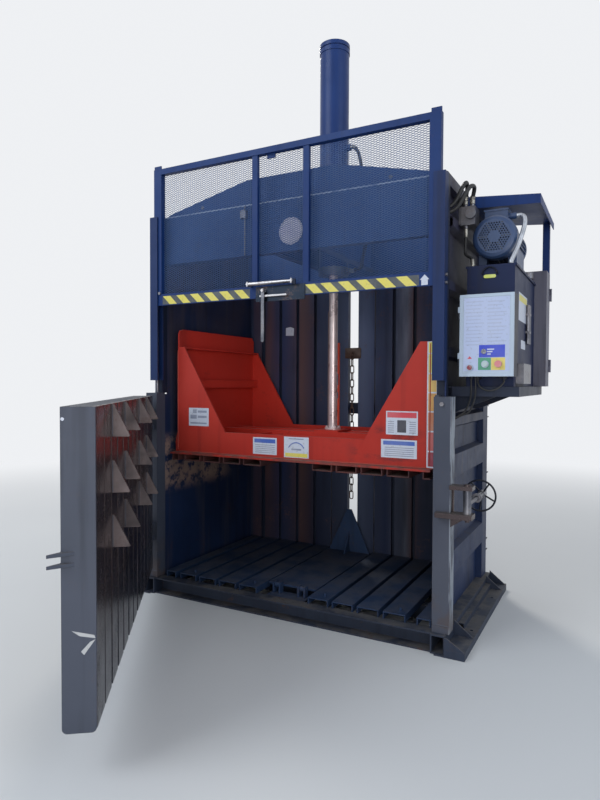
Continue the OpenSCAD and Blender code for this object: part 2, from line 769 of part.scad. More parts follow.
// A slotted stroke bar and a thin sensor rod behind the ram
module indicator_bars() place() {
    color("#e0521f") difference() {
        slab([slot_bar[0], slot_bar[2], apron_z - 12], [slot_bar[1], slot_bar[3], apron_z + 606]);
        slab([slot_bar[0] + 11, slot_bar[2] - 1, apron_z + 304],
             [slot_bar[1] - 7, slot_bar[3] + 1, apron_z + 383]);
        slab([slot_bar[0] + 11, slot_bar[2] - 1, apron_z + 210],
             [slot_bar[1] - 7, slot_bar[3] + 1, apron_z + 254]);
    }
    color("#6b5a4c") post_bar(thin_bar[0], thin_bar[1], apron_z - 12, 2 * thin_bar[2], 842);
}

// Everything on the door is drawn with the door shut and turned about the hinge pins
module on_door() {
    place() translate([hinge_x, hinge_y, 0]) rotate([0, 0, -door_open])
        translate([-hinge_x, -hinge_y, 0]) children();
}

// Door frame: end plates with rounded corners, end tubes, four box beams, a hinge knuckle
// between the two on the post, and the two ears at its corner that the latch rod drops into
latch_swing = 225;
latch_bear = 200;
latch_travel = 22;
latch_dir = [cos(90 - latch_swing), sin(90 - latch_swing)];
ear_at = [latch_x, 0] + latch_bear * latch_dir;
ear_t = 12;
module end_outline() {
    r = 18;
    hull() {
        for (y = [door_face + r, door_back - r])
            translate([y, door_z + r]) circle(r = r);
        translate([door_face, door_z + door_h - 4]) square([door_t, 4]);
    }
}

module door_frame() on_door() color("#353c49") {
    both_sides() {
        side_plate(door_x - 12, 12) end_outline();
        slab([door_x - 72, door_face, door_z + 20], [door_x - 12, door_back - bar_t,
             door_z + door_h]);
    }
    for (k = [0:3])
        translate([0, 0, door_z + 10 + k * (door_h - 10 - door_beam_h) / 3]) difference() {
            slab([-door_x + 72, door_face, 0], [door_x - 72, door_back - bar_t, door_beam_h]);
            slab([-door_x, door_face - 1, 8], [door_x, door_back - bar_t - 8, door_beam_h - 8]);
        }
    for (z = hinge_z)
        difference() {
            union() {
                post_bar(hinge_x, hinge_y, z + knuckle_h + gap, 2 * hinge_r, hinge_mid);
                slab([hinge_x, hinge_y - 12, z + knuckle_h + gap],
                     [-door_x, hinge_y + 12, z + knuckle_h + gap + hinge_mid]);
            }
            post_bar(hinge_x, hinge_y, z, hinge_pin_d + 2 * gap, 200);
        }
    for (z = [latch_z - latch_rod_d / 2 - ear_t - 3, latch_z + latch_rod_d / 2 + 3])
        translate([0, 0, z]) linear_extrude(ear_t)
            polygon([[door_x - 60, door_face + 1], [door_x - 2, door_face + 50],
                     ear_at + 25 * [-latch_dir[1], latch_dir[0]],
                     ear_at - 25 * [-latch_dir[1], latch_dir[0]]]);
}

// Upright bars on the door's inner face with tie slots between them
module door_bars() on_door() color("#4a3531") {
    for (k = [0:3], s = [-1, 1])
        translate([s * channel_x(k), 0, 0])
            slab([-channel_w / 2, door_back - bar_t, door_z + 10],
                 [channel_w / 2, door_back, door_z + door_h]);
    for (s = [-1, 1]) {
        translate([s * channel_pitch / 2, 0, 0])
            slab([-channel_w / 2, door_back - bar_t, door_z + 10],
                 [channel_w / 2, door_back, door_z + door_h]);
        translate([s * (channel_edge + door_x - 12) / 2, 0, 0])
            slab([-(door_x - 12 - channel_edge) / 2 + 14, door_back - bar_t, door_z + 10],
                 [(door_x - 12 - channel_edge) / 2, door_back, door_z + door_h]);
    }
}

// Retainer teeth: three rows of triangular plates that hold the bale down as the platen lifts
module tooth() {
    linear_extrude(tooth_t, center = true)
        polygon([[0, 0], [tooth_reach - 4, 0], [tooth_reach, 4], [6, tooth_h], [0, tooth_h]]);
}

module retainer_teeth() on_door() color("#5a514d")
    for (x = tooth_x, z = tooth_z)
        translate([x, door_back, z]) rotate([90, 0, 90]) tooth();

// Hinges: two knuckles on the left post for each pin, and the pins through them
knuckle_h = 36;
hinge_mid = 54;
// Least width of a knuckle's seat on the post, wherever the door's width puts the pin
knuckle_seat = 40;
module hinge_knuckles() place() color("#3a4250")
    for (z = hinge_z) {
        for (part = [0, knuckle_h + hinge_mid + 2 * gap]) {
            post_bar(hinge_x, hinge_y, z + part, 2 * hinge_r, knuckle_h);
            slab([min(hinge_x - hinge_r, -cw - knuckle_seat), hinge_y, z + part],
                 [max(hinge_x + hinge_r, -post_x + knuckle_seat), 0, z + part + knuckle_h]);
        }
        post_bar(hinge_x, hinge_y, z - 6, hinge_pin_d, 2 * knuckle_h + hinge_mid + 12);
        post_bar(hinge_x, hinge_y, z + 2 * knuckle_h + hinge_mid + 2, hinge_pin_d + 12, 8);
    }

// Latch bracket: a long lower plate across the post, a short upper one and the pin
module latch_bracket() place() color("#7a4a30") {
    slab([plate_in, -40, latch_low - 25], [latch_x + 30, 0, latch_low]);
    slab([post_x, -1, latch_low - 25], [latch_x + 30, 40, latch_low]);
    slab([post_x, -30, latch_high], [latch_x + 30, 40, latch_high + 20]);
    front_plate(0, 8) polygon([[post_x, latch_low - 25], [post_x, latch_low - 75],
                               [latch_x - 10, latch_low - 25]]);
    slab([post_x, 24, latch_low], [post_x + 10, 40, latch_high]);
    post_bar(latch_x, 0, latch_low - 40, 2 * latch_pin_r, latch_high - latch_low + 68);
    post_bar(latch_x, 0, latch_high + 20, 2 * latch_pin_r + 12, 8);
}

// Swing rod: a sleeve on the pin with a threaded rod; the thread's depth is left open between
// the rod and the bores that run on it
thread_h = 1.3;
nut_bore = latch_rod_d + 2 * thread_h;
module latch_arm() place() color("#3c3a3a") {
    difference() {
        post_bar(latch_x, 0, latch_low + gap, 2 * sleeve_r, latch_high - latch_low - 2 * gap);
        post_bar(latch_x, 0, latch_low - 1, 2 * (latch_pin_r + gap), latch_high);
    }
    translate([latch_x, sleeve_r - 4, latch_z]) rotate([-90, 0, 0])
        cylinder(d = latch_rod_d, h = wheel_reach + 96 - sleeve_r);
}

// Thrust washer with a spacer tube between the wheel's hub and the ears
hub_y = wheel_reach + 28;
washer_y = latch_bear + latch_travel;
module latch_washer() place() color("#5b5d60")
    translate([latch_x, washer_y, latch_z]) rotate([-90, 0, 0]) difference() {
        union() {
            cylinder(d = 50, h = 8);
            cylinder(d = 34, h = hub_y - washer_y);
        }
        translate([0, 0, -1]) cylinder(d = nut_bore, h = hub_y);
    }

// Handwheel: a round rim on five dished spokes that are welded to a long nut
hub_r = 21;
module handwheel() place() color("#2a2d31")
    translate([latch_x, 0, latch_z]) rotate([-90, 0, 0]) {
        translate([0, 0, wheel_reach]) rotate_extrude($fn = 64)
            translate([wheel_r - 5, 0]) circle(r = 5, $fn = 16);
        difference() {
            for (k = [0:4])
                rotate([0, 0, 72 * k + 18]) translate([17, 0, hub_y + 20])
                    rotate([0, 90 + atan((hub_y + 20 - wheel_reach) / (wheel_r - 22)), 0])
                        cylinder(d = 9, h = norm([hub_y + 20 - wheel_reach, wheel_r - 22]));
            translate([0, 0, hub_y]) cylinder(r = hub_r + 0.05, h = 52);
        }
    }

module wheel_hub() place() color("#2a2d31")
    translate([latch_x, hub_y, latch_z]) rotate([-90, 0, 0]) difference() {
        cylinder(r = hub_r, h = 52);
        translate([0, 0, -1]) cylinder(d = nut_bore, h = 60);
    }

// Ejector: a plate hinged at the front of the floor with a bent-up tail
module ejector_plate() place() color("#39434f") {
    x = ejector_w / 2;
    slab([-x, ejector_y + 24, floor_z - 12], [x, kicker_y, floor_z]);
    for (s = [-1, 1])
        difference() {
            union() {
                slab([s * 85 - 14, ejector_y, floor_z - 12], [s * 85 + 14, ejector_y + 24, floor_z]);
                translate([s * 85 - 14, ejector_y, ejector_z]) rotate([0, 90, 0])
                    cylinder(d = 30, h = 28);
            }
            translate([s * 85 - 15, ejector_y, ejector_z]) rotate([0, 90, 0])
                cylinder(d = 12 + 2 * gap, h = 30);
        }
    front_plate(kicker_y, 10)
        polygon([[-x, floor_z - 12], [x, floor_z - 12], [18, floor_z + kicker_h],
                 [-18, floor_z + kicker_h]]);
    side_plate(-5, 10)
        polygon([[kicker_y - 90, floor_z], [kicker_y, floor_z], [kicker_y, floor_z + 150]]);
}

module ejector_lugs() place() color("#4c4a48") {
    for (s = [-1, 1], e = [-1, 1])
        difference() {
            slab([s * 85 + e * 21 - 6, ejector_y - 20, beam_h - 8],
                 [s * 85 + e * 21 + 6, ejector_y + 20, ejector_z + 18]);
            translate([s * 85 + e * 21 - 7, ejector_y, ejector_z]) rotate([0, 90, 0])
                cylinder(d = 12, h = 14);
        }
    for (s = [-1, 1])
        translate([s * 85 - 30, ejector_y, ejector_z]) rotate([0, 90, 0]) cylinder(d = 12, h = 60);
    slab([-130, beam_front + beam_d, beam_h - 20], [130, ejector_y + 30, beam_h - 8]);
}

// Lift chain hung on a hook at the rear wall, its lower end free above the ejector's tail
link_w = 34;
link_l = 34;
wire = 8;
module link_shape(r) {
    for (s = [-1, 1])
        translate([0, s * link_l / 2]) circle(r = r);
    translate([-r, -link_l / 2]) square([2 * r, link_l]);
}

module ejector_chain() place() color("#6d5d50") {
    hook_z = 1600;
    y = chamber_d - link_w / 2 - 2;
    step = link_l + link_w - 2 * wire - 0.5;
    first = hook_z + 7 - (link_l + link_w) / 2 + wire;
    count = floor((first - floor_z - kicker_h) / step);
    for (k = [0:count - 1])
        translate([0, y, first - k * step]) rotate([90, 0, 90 * (k % 2)])
            linear_extrude(wire, center = true) difference() {
                link_shape(link_w / 2);
                link_shape(link_w / 2 - wire);
            }
    translate([0, y - 12, hook_z]) rotate([-90, 0, 0]) cylinder(d = 14, h = chamber_d - y + 12);
    slab([-chain_slot / 2 - 22, chamber_d - 8, hook_z - 40],
         [chain_slot / 2 + 22, chamber_d, hook_z + 36]);
}

// Shelf of the power unit: a folded tray on two brackets
shelf_x = [cw + sheet_t, tank_x + tank_w + 30];
shelf_y = [tank_y - 20, cabinet_y + cabinet_d + 10];
module power_shelf() place() color("#1e232b") {
    slab([shelf_x[0], shelf_y[0], shelf_z - 8], [shelf_x[1], rear_post_y, shelf_z]);
    slab([side_x, rear_post_y, shelf_z - 8], [shelf_x[1], shelf_y[1], shelf_z]);
    slab([side_x, shelf_y[0], shelf_z - 52], [shelf_x[1], shelf_y[0] + 8, shelf_z - 8]);
    slab([shelf_x[1] - 8, shelf_y[0], shelf_z - 52], [shelf_x[1], shelf_y[1], shelf_z - 8]);
    slab([side_x, shelf_y[1] - 8, shelf_z - 52], [shelf_x[1], shelf_y[1], shelf_z - 8]);
    for (y = [tank_y + 60, tank_y + tank_l - 60])
        front_plate(y, 10) polygon([[shelf_x[0], shelf_z - 8], [shelf_x[1] - 20, shelf_z - 8],
                                    [side_x, shelf_z - 140], [shelf_x[0], shelf_z - 140]]);
}

// Rain roof over the power unit, sloping outwards, on two uprights at the cabinet
module rain_roof() place() color("#1c2a45") {
    y = [430, cabinet_y + cabinet_d];
    fall = 34;
    x1 = side_x + 400;
    front_plate(y[0], y[1] - y[0])
        polygon([[side_x, wall_h - 32], [x1, wall_h - 32 - fall], [x1, wall_h - 36 - fall],
                 [side_x, wall_h - 36]]);
    front_plate(y[0], 4)
        polygon([[side_x, wall_h - 36], [x1, wall_h - 36 - fall], [x1, wall_h - 82 - fall],
                 [side_x, wall_h - 100]]);
    side_plate(x1 - 4, 4)
        polygon([[y[0] + 3, wall_h - 35 - fall], [y[1], wall_h - 35 - fall],
                 [y[1], wall_h - 70 - fall], [y[0] + 3, wall_h - 82 - fall]]);
    for (x = [cabinet_x[0], cabinet_x[1] - 40])
        slab([x, y[1] - 44, cabinet_z[1]],
             [x + 40, y[1] - 4, wall_h - 36 - fall * (x + 40 - side_x) / 400]);
}

// Oil tank with its lid, and its fittings: sight glass under a hood, filler breather, two
// conduits with clips and a small junction box
module oil_tank() place() color("#1f3050") {
    x = [tank_x, tank_x + tank_w];
    slab([x[0], tank_y, shelf_z], [x[1], tank_y + tank_l, tank_top - 12]);
    slab([x[0] - 8, tank_y, tank_top - 12], [x[1] + 8, tank_y + tank_l, tank_top]);
}

module tank_fittings() place() {
    x = tank_x + tank_w;
    color("#c9d06a") front_plate(tank_y - 3, 3) {
        for (s = [-1, 1])
            translate([motor_x + 22 * s, tank_top - 60]) circle(r = 10);
        translate([motor_x - 22, tank_top - 70]) square([44, 20]);
    }
    color("#22262c") front_plate(tank_y - 12, 12) difference() {
        translate([motor_x, tank_top - 50]) circle(r = 40);
        translate([motor_x - 50, tank_top - 95]) square([100, 45]);
        translate([motor_x, tank_top - 50]) circle(r = 34);
    }
    color("#2a2c30") {
        post_bar(x - 30, tank_y + tank_l - 60, tank_top, 40, 24);
        post_bar(x - 30, tank_y + tank_l - 60, tank_top + 24, 62, 36);
        slab([x, tank_y + 60, shelf_z + 15], [x + 40, tank_y + 330, shelf_z + 120]);
    }
    color("#b8babd") {
        for (y = [tank_y + 400, tank_y + 440])
            post_bar(x + 12, y, shelf_z + 240, 20, 220);
        for (z = [shelf_z + 300, shelf_z + 400])
            slab([x, tank_y + 385, z], [x + 22, tank_y + 455, z + 12]);
    }
}

// Electric motor: finned body on feet with a terminal box and its cable gland
fin_count = 28;
module motor() place() color("#454a52") {
    r = fan_r;
    translate([motor_x, motor_y + 64, motor_z]) rotate([-90, 0, 0]) difference() {
        union() {
            cylinder(r = r, h = motor_l - 64);
            cylinder(d = motor_d, h = 22);
            translate([0, 0, motor_l - 92]) cylinder(r = r + 10, h = 28);
        }
        translate([0, 0, -1]) cylinder(r = 15 + gap, h = 40);
    }
    for (k = [0:fin_count - 1])
        translate([motor_x, 0, motor_z]) rotate([0, 360 * k / fin_count, 0])
            slab([-1.5, motor_y + 86, r - 2], [1.5, motor_y + motor_l - 28, r + 11]);
    for (s = [-1, 1])
        difference() {
            slab([motor_x + s * 78 - 22, motor_y + 110, tank_top],
                 [motor_x + s * 78 + 22, motor_y + motor_l - 60, motor_z - 40]);
            translate([motor_x, motor_y, motor_z]) rotate([-90, 0, 0]) cylinder(r = r - 1, h = motor_l);
        }
    slab([motor_x - 62, motor_y + 66, motor_z + r - 6], [motor_x + 58, motor_y + 196, motor_z + r + 52]);
    slab([motor_x - 66, motor_y + 62, motor_z + r + 52], [motor_x + 62, motor_y + 200, motor_z + r + 62]);
    color("#2a2c2f") translate([motor_x + 58, motor_y + 110, motor_z + r + 26]) rotate([0, 90, 0])
        cylinder(d = 34, h = 40);
}

// Fan cover: a spun cap with six fields of round holes about a plain middle
function in_field(x, z) =
    let (d = norm([x, z]), a = (atan2(z, x) + 360) % 60)
    d > 34 && d * cos(a - 30) < 80 && abs(a - 0) > 4 && abs(a - 60) > 4;
module fan_cover() place() color("#6b6f75")
    translate([motor_x, motor_y + 64, motor_z]) rotate([90, 0, 0]) difference() {
        rotate_extrude()
            polygon([[0, 64], [motor_d / 2 - 26, 64], [motor_d / 2 - 10, 57], [motor_d / 2, 42],
                     [motor_d / 2, 0], [motor_d / 2 - 3, 0], [motor_d / 2 - 3, 40],
                     [motor_d / 2 - 12, 54], [motor_d / 2 - 27, 61], [0, 61]]);
        for (i = [-6:6], j = [-7:7])
            let (x = (i + 0.5 * (j % 2)) * 13.5, z = j * 11.7)
                if (in_field(x, z))
                    translate([x, z, 60]) cylinder(r = 4.2, h = 6, $fn = 16);
    }

// Shaft end and fan inside the cover
module motor_fan() place() color("#22262b")
    translate([motor_x, motor_y + 90, motor_z]) rotate([90, 0, 0]) {
        cylinder(r = 15, h = 70);
        translate([0, 0, 34]) cylinder(r = 30, h = 30);
        for (k = [0:7])
            rotate([0, 0, 45 * k]) slab([-2, 26, 36], [2, 92, 62]);
    }

// Pump on the motor's back flange with its suction pipe into the tank
module pump() place() color("#565a5f") {
    y0 = motor_y + motor_l;
    translate([motor_x, y0, motor_z]) rotate([-90, 0, 0]) cylinder(r = 72, h = 60);
    slab([motor_x - 52, y0 + 60, motor_z - 60], [motor_x + 52, y0 + 160, motor_z + 50]);
    post_bar(motor_x, y0 + 110, tank_top, 42, motor_z - 60 - tank_top);
    translate([motor_x - 74, y0 + 110, motor_z]) rotate([0, 90, 0]) cylinder(d = 34, h = 24);
}

// Valve block on the side wall with its two solenoids and a round gauge
valve = [side_x + 12, 285, wall_h - 225];
module valve_block() place() {
    color("#33383f") {
        slab([side_x, valve[1] + 10, valve[2] + 10], [valve[0], valve[1] + 130, valve[2] + 100]);
        slab(valve, valve + [76, 110, 100]);
        for (z = [valve[2] + 26, valve[2] + 74])
            translate([valve[0] + 38, valve[1] + 110, z]) rotate([-90, 0, 0]) cylinder(d = 40, h = 90);
        for (x = [20, 56])
            post_bar(valve[0] + x, valve[1] + 26, valve[2] + 100, 24, 14);
        post_bar(valve[0] + 24, valve[1] + 26, valve[2] - 14, 24, 14);
    }
    color("#c9bfa6") translate([valve[0] + 56, valve[1] - 2, valve[2] + 56]) rotate([90, 0, 0]) {
        cylinder(d = 56, h = 22);
        translate([0, 0, -4]) cylinder(d = 20, h = 6);
    }
}

// Hoses: from both cylinder ports through the gable, along the header and out through the
// side wall to the valve, and a thin one from the valve to the tank
hose_d = 22;
hose_y = (header_y + header_t + gable_y) / 2;
hose_z = header_z + 136;
hose_wall_y = 136;
hose_gable_x = cw - 384;
cyl_x = barrel_d / 2 + port_out;
port_top = valve[2] + 114 + gap;
function along_header(dz) = [
    [cw - 403, gable_y + 28, hose_z + 39 + dz], [cw - 372, hose_y + 9, hose_z + 24 + dz],
    [cw - 315, hose_y, hose_z + 16 + dz], [cw - 215, hose_y, hose_z + 14 + dz],
    [cw - 85, hose_y, hose_z + 14 + dz], [cw - 43, hose_y + 6, hose_z + 14 + dz],
    [cw + 4, hose_wall_y, hose_z + 14 + dz]];
hose_up = concat([[cyl_x + gap, ram_y, hose_port_z], [cyl_x + 14, ram_y, hose_port_z],
    [cyl_x + 36, ram_y - 6, hose_port_z - 12],
    [cyl_x + 73, ram_y - 30, hose_port_z - 70], [cyl_x + 133, ram_y - 120, hose_port_z - 220],
    [cyl_x + 216, ram_y - 280, hose_port_z - 400], [cw - 494, gable_y + 198, hose_z + 147],
    [cw - 429, gable_y + 93, hose_z + 77]], along_header(0), [
    [cw + 40, 152, hose_z + 22], [cw + 70, 158, hose_z + 57], [valve[0] + 32, 176, valve[2] + 165],
    [valve[0] + 42, 220, valve[2] + 205], [valve[0] + 34, 284, valve[2] + 198],
    [valve[0] + 20, valve[1] + 26, valve[2] + 142], [valve[0] + 20, valve[1] + 26, port_top]]);
hose_low = concat([[cyl_x + gap, ram_y, gland_z + gland_h / 2],
    [cyl_x + 16, ram_y, gland_z + gland_h / 2], [cyl_x + 44, ram_y - 14, gland_z + gland_h / 2],
    [cyl_x + 103, ram_y - 60, gland_z + 30], [cyl_x + 178, ram_y - 210, gland_z + 60],
    [cw - 524, gable_y + 248, hose_z - 68], [cw - 444, gable_y + 113, hose_z - 3]],
    along_header(-28), [
    [cw + 40, 150, hose_z - 8], [cw + 75, 156, hose_z + 17], [cw + 107, 170, hose_z + 77],
    [valve[0] + 70, 205, valve[2] + 178], [valve[0] + 74, 272, valve[2] + 188],
    [valve[0] + 56, valve[1] + 26, valve[2] + 142], [valve[0] + 56, valve[1] + 26, port_top]]);
hose_tank = [valve + [24, 26, -14 - gap], valve + [24, 26, -50], valve + [22, 21, -120],
    [side_x + 41, tank_y + 92, tank_top + 82], [tank_x + 6, tank_y + 70, tank_top + 54],
    [tank_x + 14, tank_y + 62, tank_top + 22], [tank_x + 14, tank_y + 62, tank_top + gap]];
module hydraulic_hoses() place() color("#0f1012") {
    sweep_tube(smooth(hose_up, 3), hose_d, 12);
    sweep_tube(smooth(hose_low, 3), hose_d, 12);
    sweep_tube(smooth(hose_tank, 3), 16, 12);
}

// Cables: the motor's silver conduit, the loop under the control box and its two leads
conduit = [for (p = [[98 + gap, 110, 0], [108, 110, 0], [124, 104, -4], [140, 86, -22], [144, 56, -73],
        [128, 10, -163], [108, -28, -233]])
    [motor_x + p[0], motor_y + p[1], motor_z + fan_r + 26 + p[2]]];
box_low = box_z - 14;
cable_loop = [for (p = [[-50, 60, -gap], [-50, 60, -14], [-34, 52, -42], [8, 46, -58],
        [54, 50, -44], [78, 60, -14], [78, 60, -gap]])
    [box_x + p[0], box_y + p[1], box_low + p[2]]];
lead_x = [box_x - 84, box_x - 62];
module electric_cables() place() {
    color("#b7babd") sweep_tube(smooth(concat(conduit,
        [[motor_x + 96, motor_y - 45, tank_top + 20], [motor_x + 96, motor_y - 45, tank_top + gap]]), 4),
        25, 12);
    color("#18191b") sweep_tube(smooth(cable_loop, 3), 9);
    color("#18191b") for (x = lead_x)
        sweep_tube(smooth([[x, box_y + 60, box_low - gap], [x, box_y + 60, box_low - 16],
            [x, box_y + 62, box_low - 60],
            [x - 10, box_y + 80, shelf_z - 70], [x - 36, box_y + 90, shelf_z - 130],
            [side_x + 6, box_y + 112 + 0.5 * (x - box_x), rib_rows[2][0] + 50]], 3), 9);
}

// Control box with mounting tabs and cable glands, and its door on the left-hand hinges
box_ends = [box_x - box_w / 2, box_x + box_w / 2];
box_hinge = [box_ends[0] - 6, box_y + 8];
hinge_rows = [box_z + 60, box_z + box_h - 120];
module control_box() place() color("#15171a") {
    difference() {
        slab([box_ends[0], box_y + door_sheet, box_z], [box_ends[1], tank_y, box_z + box_h]);
        slab([box_ends[0] + 4, box_y, box_z + 4], [box_ends[1] - 4, tank_y - 4, box_z + box_h - 4]);
    }
    for (dx = [-60, 70], z = [box_z - 12, box_z + box_h])
        slab([box_x + dx - 16, box_y + 80, z], [box_x + dx + 16, tank_y, z + 12]);
    for (x = concat(lead_x, [box_x - 50, box_x + 78]))
        post_bar(x, box_y + 60, box_low, 18, 14);
    slab([box_ends[0] + 30, box_y + 70, box_z + 150], [box_ends[1] - 30, tank_y - 4, box_z + 300]);
    for (z = hinge_rows) {
        post_bar(box_hinge[0], box_hinge[1], z, 10, 30);
        slab([box_hinge[0] - 5, box_hinge[1], z], [box_hinge[0] + 3, box_hinge[1] + 12, z + 30]);
        slab([box_hinge[0] - 5, box_hinge[1] + 9, z], [box_ends[0], box_hinge[1] + 16, z + 30]);
    }
}

module control_door() place() color("#9a9da1") {
    difference() {
        slab([box_ends[0], box_y, box_z], [box_ends[1], box_y + door_sheet - gap, box_z + box_h]);
        slab([box_ends[0] + 3, box_y + 4, box_z + 3], [box_ends[1] - 3, box_y + door_sheet,
             box_z + box_h - 3]);
        slab([box_ends[0] + 18, box_y - 1, box_z + 16], [box_ends[1] - 18, box_y + 1.5,
             box_z + box_h - 16]);
        for (b = buttons)
            translate([b[0], box_y - 1, b[1]]) rotate([-90, 0, 0]) cylinder(d = 12 + 2 * gap, h = 8);
    }
    for (b = [buttons[0], buttons[1]])
        translate([b[0], box_y + 1.5, b[1]]) rotate([90, 0, 0]) difference() {
            cylinder(d = b[2] + 10, h = press + 3);
            translate([0, 0, -1]) cylinder(d = b[2] + 2 * gap, h = press + 5);
        }
    for (z = hinge_rows) {
        post_bar(box_hinge[0], box_hinge[1], z + 30 + gap, 10, 30);
        slab([box_hinge[0], box_hinge[1] - 5, z + 30 + gap],
             [box_ends[0] + 2, box_hinge[1], z + 60 + gap]);
    }
}

// Buttons: place across and up the door, diameter of the head and its height
buttons = [[box_x - 79, box_z + 45, 24, 8], [box_x - 4, box_z + 62, 26, 7],
           [box_x + 61, box_z + 62, 34, 14]];
press = 4;
module push_button(k) {
    b = buttons[k];
    translate([b[0], box_y + 1.5 - press - b[3], b[1]]) rotate([-90, 0, 0]) {
        cylinder(d = b[2], h = b[3]);
        cylinder(d = 12, h = b[3] + press + 16);
    }
}

module reset_button() place() color("#8f1d22") push_button(0);

module start_button() place() color("#1d7a3c") push_button(1);

module stop_button() place() color("#d2655e") push_button(2);

// Starter cabinet behind the tank with a hinged rear door and a quarter-turn lock
cabinet_back = cabinet_y + cabinet_d;
cabinet_rows = [cabinet_z[0] + 90, cabinet_z[1] - 170];
module starter_cabinet() place() color("#3a3340") {
    difference() {
        slab([cabinet_x[0], cabinet_y, cabinet_z[0]], [cabinet_x[1], cabinet_back, cabinet_z[1]]);
        slab([cabinet_x[0] + 5, cabinet_y + 5, cabinet_z[0] + 5],
             [cabinet_x[1] - 5, cabinet_back + 1, cabinet_z[1] - 5]);
    }
    slab([cabinet_x[0] + 40, cabinet_y + 5, cabinet_z[0] + 160],
         [cabinet_x[1] - 40, cabinet_y + 60, cabinet_z[1] - 200]);
    for (z = cabinet_rows) {
        post_bar(cabinet_x[1] + 7, cabinet_back + 8, z, 12, 40);
        slab([cabinet_x[1], cabinet_back - 14, z], [cabinet_x[1] + 13, cabinet_back + 8, z + 40]);
    }
}

module cabinet_door() place() color("#3a3340") {
    difference() {
        slab([cabinet_x[0], cabinet_back + gap, cabinet_z[0] + 1],
             [cabinet_x[1] - 1, cabinet_back + 16, cabinet_z[1]]);
        slab([cabinet_x[0] + 4, cabinet_back, cabinet_z[0] + 5],
             [cabinet_x[1] - 5, cabinet_back + 12, cabinet_z[1] - 4]);
    }
    for (z = cabinet_rows) {
        post_bar(cabinet_x[1] + 7, cabinet_back + 8, z + 40 + gap, 12, 40);
        slab([cabinet_x[1] - 2, cabinet_back + 8, z + 40 + gap],
             [cabinet_x[1] + 7, cabinet_back + 14, z + 80 + gap]);
    }
    translate([cabinet_x[0] + 30, cabinet_back + 16, (cabinet_z[0] + cabinet_z[1]) / 2])
        rotate([-90, 0, 0]) cylinder(d = 26, h = 10);
}

base_frame();
foot_channels();
floor_channels();
door_posts();
upper_posts();
rear_posts();
side_wall_left();
side_wall_right();
rear_channels();
rear_ribs();
header_plate();
gable_plates();
cylinder_beams();
cylinder_barrel();
cylinder_gland();
gate_tracks();
limit_switch();
frame_bolts();
gate_frame();
gate_mesh();
gate_handle();
gate_rod();
pull_bar();
platen_base();
platen_channels();
platen_rails();
wing_left();
wing_right();
ram_rod();
indicator_bars();
door_frame();
door_bars();
retainer_teeth();
hinge_knuckles();
latch_bracket();
latch_arm();
latch_washer();
handwheel();
wheel_hub();
ejector_plate();
ejector_lugs();
ejector_chain();
power_shelf();
rain_roof();
oil_tank();
tank_fittings();
motor();
fan_cover();
motor_fan();
pump();
valve_block();
hydraulic_hoses();
electric_cables();
control_box();
control_door();
start_button();
stop_button();
reset_button();
starter_cabinet();
cabinet_door();
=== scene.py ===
import math
import bpy
import numpy as np
from mathutils import Matrix


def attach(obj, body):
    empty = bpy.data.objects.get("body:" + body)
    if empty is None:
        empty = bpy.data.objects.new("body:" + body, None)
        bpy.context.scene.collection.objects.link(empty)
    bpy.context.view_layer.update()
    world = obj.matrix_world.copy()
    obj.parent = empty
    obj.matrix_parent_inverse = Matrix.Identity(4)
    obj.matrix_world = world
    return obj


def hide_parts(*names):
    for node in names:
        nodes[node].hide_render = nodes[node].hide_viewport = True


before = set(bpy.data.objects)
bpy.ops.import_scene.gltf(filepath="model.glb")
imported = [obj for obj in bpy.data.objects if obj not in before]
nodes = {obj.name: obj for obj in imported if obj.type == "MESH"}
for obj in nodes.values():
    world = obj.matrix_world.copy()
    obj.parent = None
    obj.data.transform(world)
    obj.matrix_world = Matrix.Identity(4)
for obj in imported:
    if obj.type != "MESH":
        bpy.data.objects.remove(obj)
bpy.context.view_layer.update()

# Camera and lamps. The camera stands where the photographer stood, at a height of 1.37 m and
# to the right of the machine, and looks 28 degrees to its left. The focal length is in pixels
# of the photograph.
eye = np.array([1.764, -3.5842, 1.3704])
yaw, pitch, roll = np.radians([28.1264, 1.5317, 0.2293])
ahead = np.array([-math.sin(yaw) * math.cos(pitch), math.cos(yaw) * math.cos(pitch), -math.sin(pitch)])
side = np.array([math.cos(yaw), math.sin(yaw), 0.0])
above = np.cross(side, ahead)
right = math.cos(roll) * side + math.sin(roll) * above
up = math.cos(roll) * above - math.sin(roll) * side
camera = bpy.data.objects.new("camera", bpy.data.cameras.new("camera"))
bpy.context.collection.objects.link(camera)
turn = np.eye(4)
turn[:3, :4] = np.column_stack([right, up, -ahead, eye])
camera.matrix_world = Matrix(turn.tolist())
focal, photo_height, film_height = 604.74, 800, 36
camera.data.lens = focal / photo_height * film_height
camera.data.clip_end = 100
bpy.context.scene.camera = camera
bpy.context.scene.view_settings.view_transform = "Standard"


def lamp(name, place, target, size, power, colour):
    """A square lamp of the given size at place, turned towards target."""
    data = bpy.data.lights.new(name, "AREA")
    data.shape, data.size, data.energy, data.color = "SQUARE", size, power, colour
    obj = bpy.data.objects.new(name, data)
    bpy.context.collection.objects.link(obj)
    way = np.array(target, float) - np.array(place, float)
    way /= np.linalg.norm(way)
    across = np.cross(way, (0, 0, 1.0))
    across /= np.linalg.norm(across)
    m = np.eye(4)
    m[:3, :4] = np.column_stack([across, np.cross(across, way), -way, place])
    obj.matrix_world = Matrix(m.tolist())


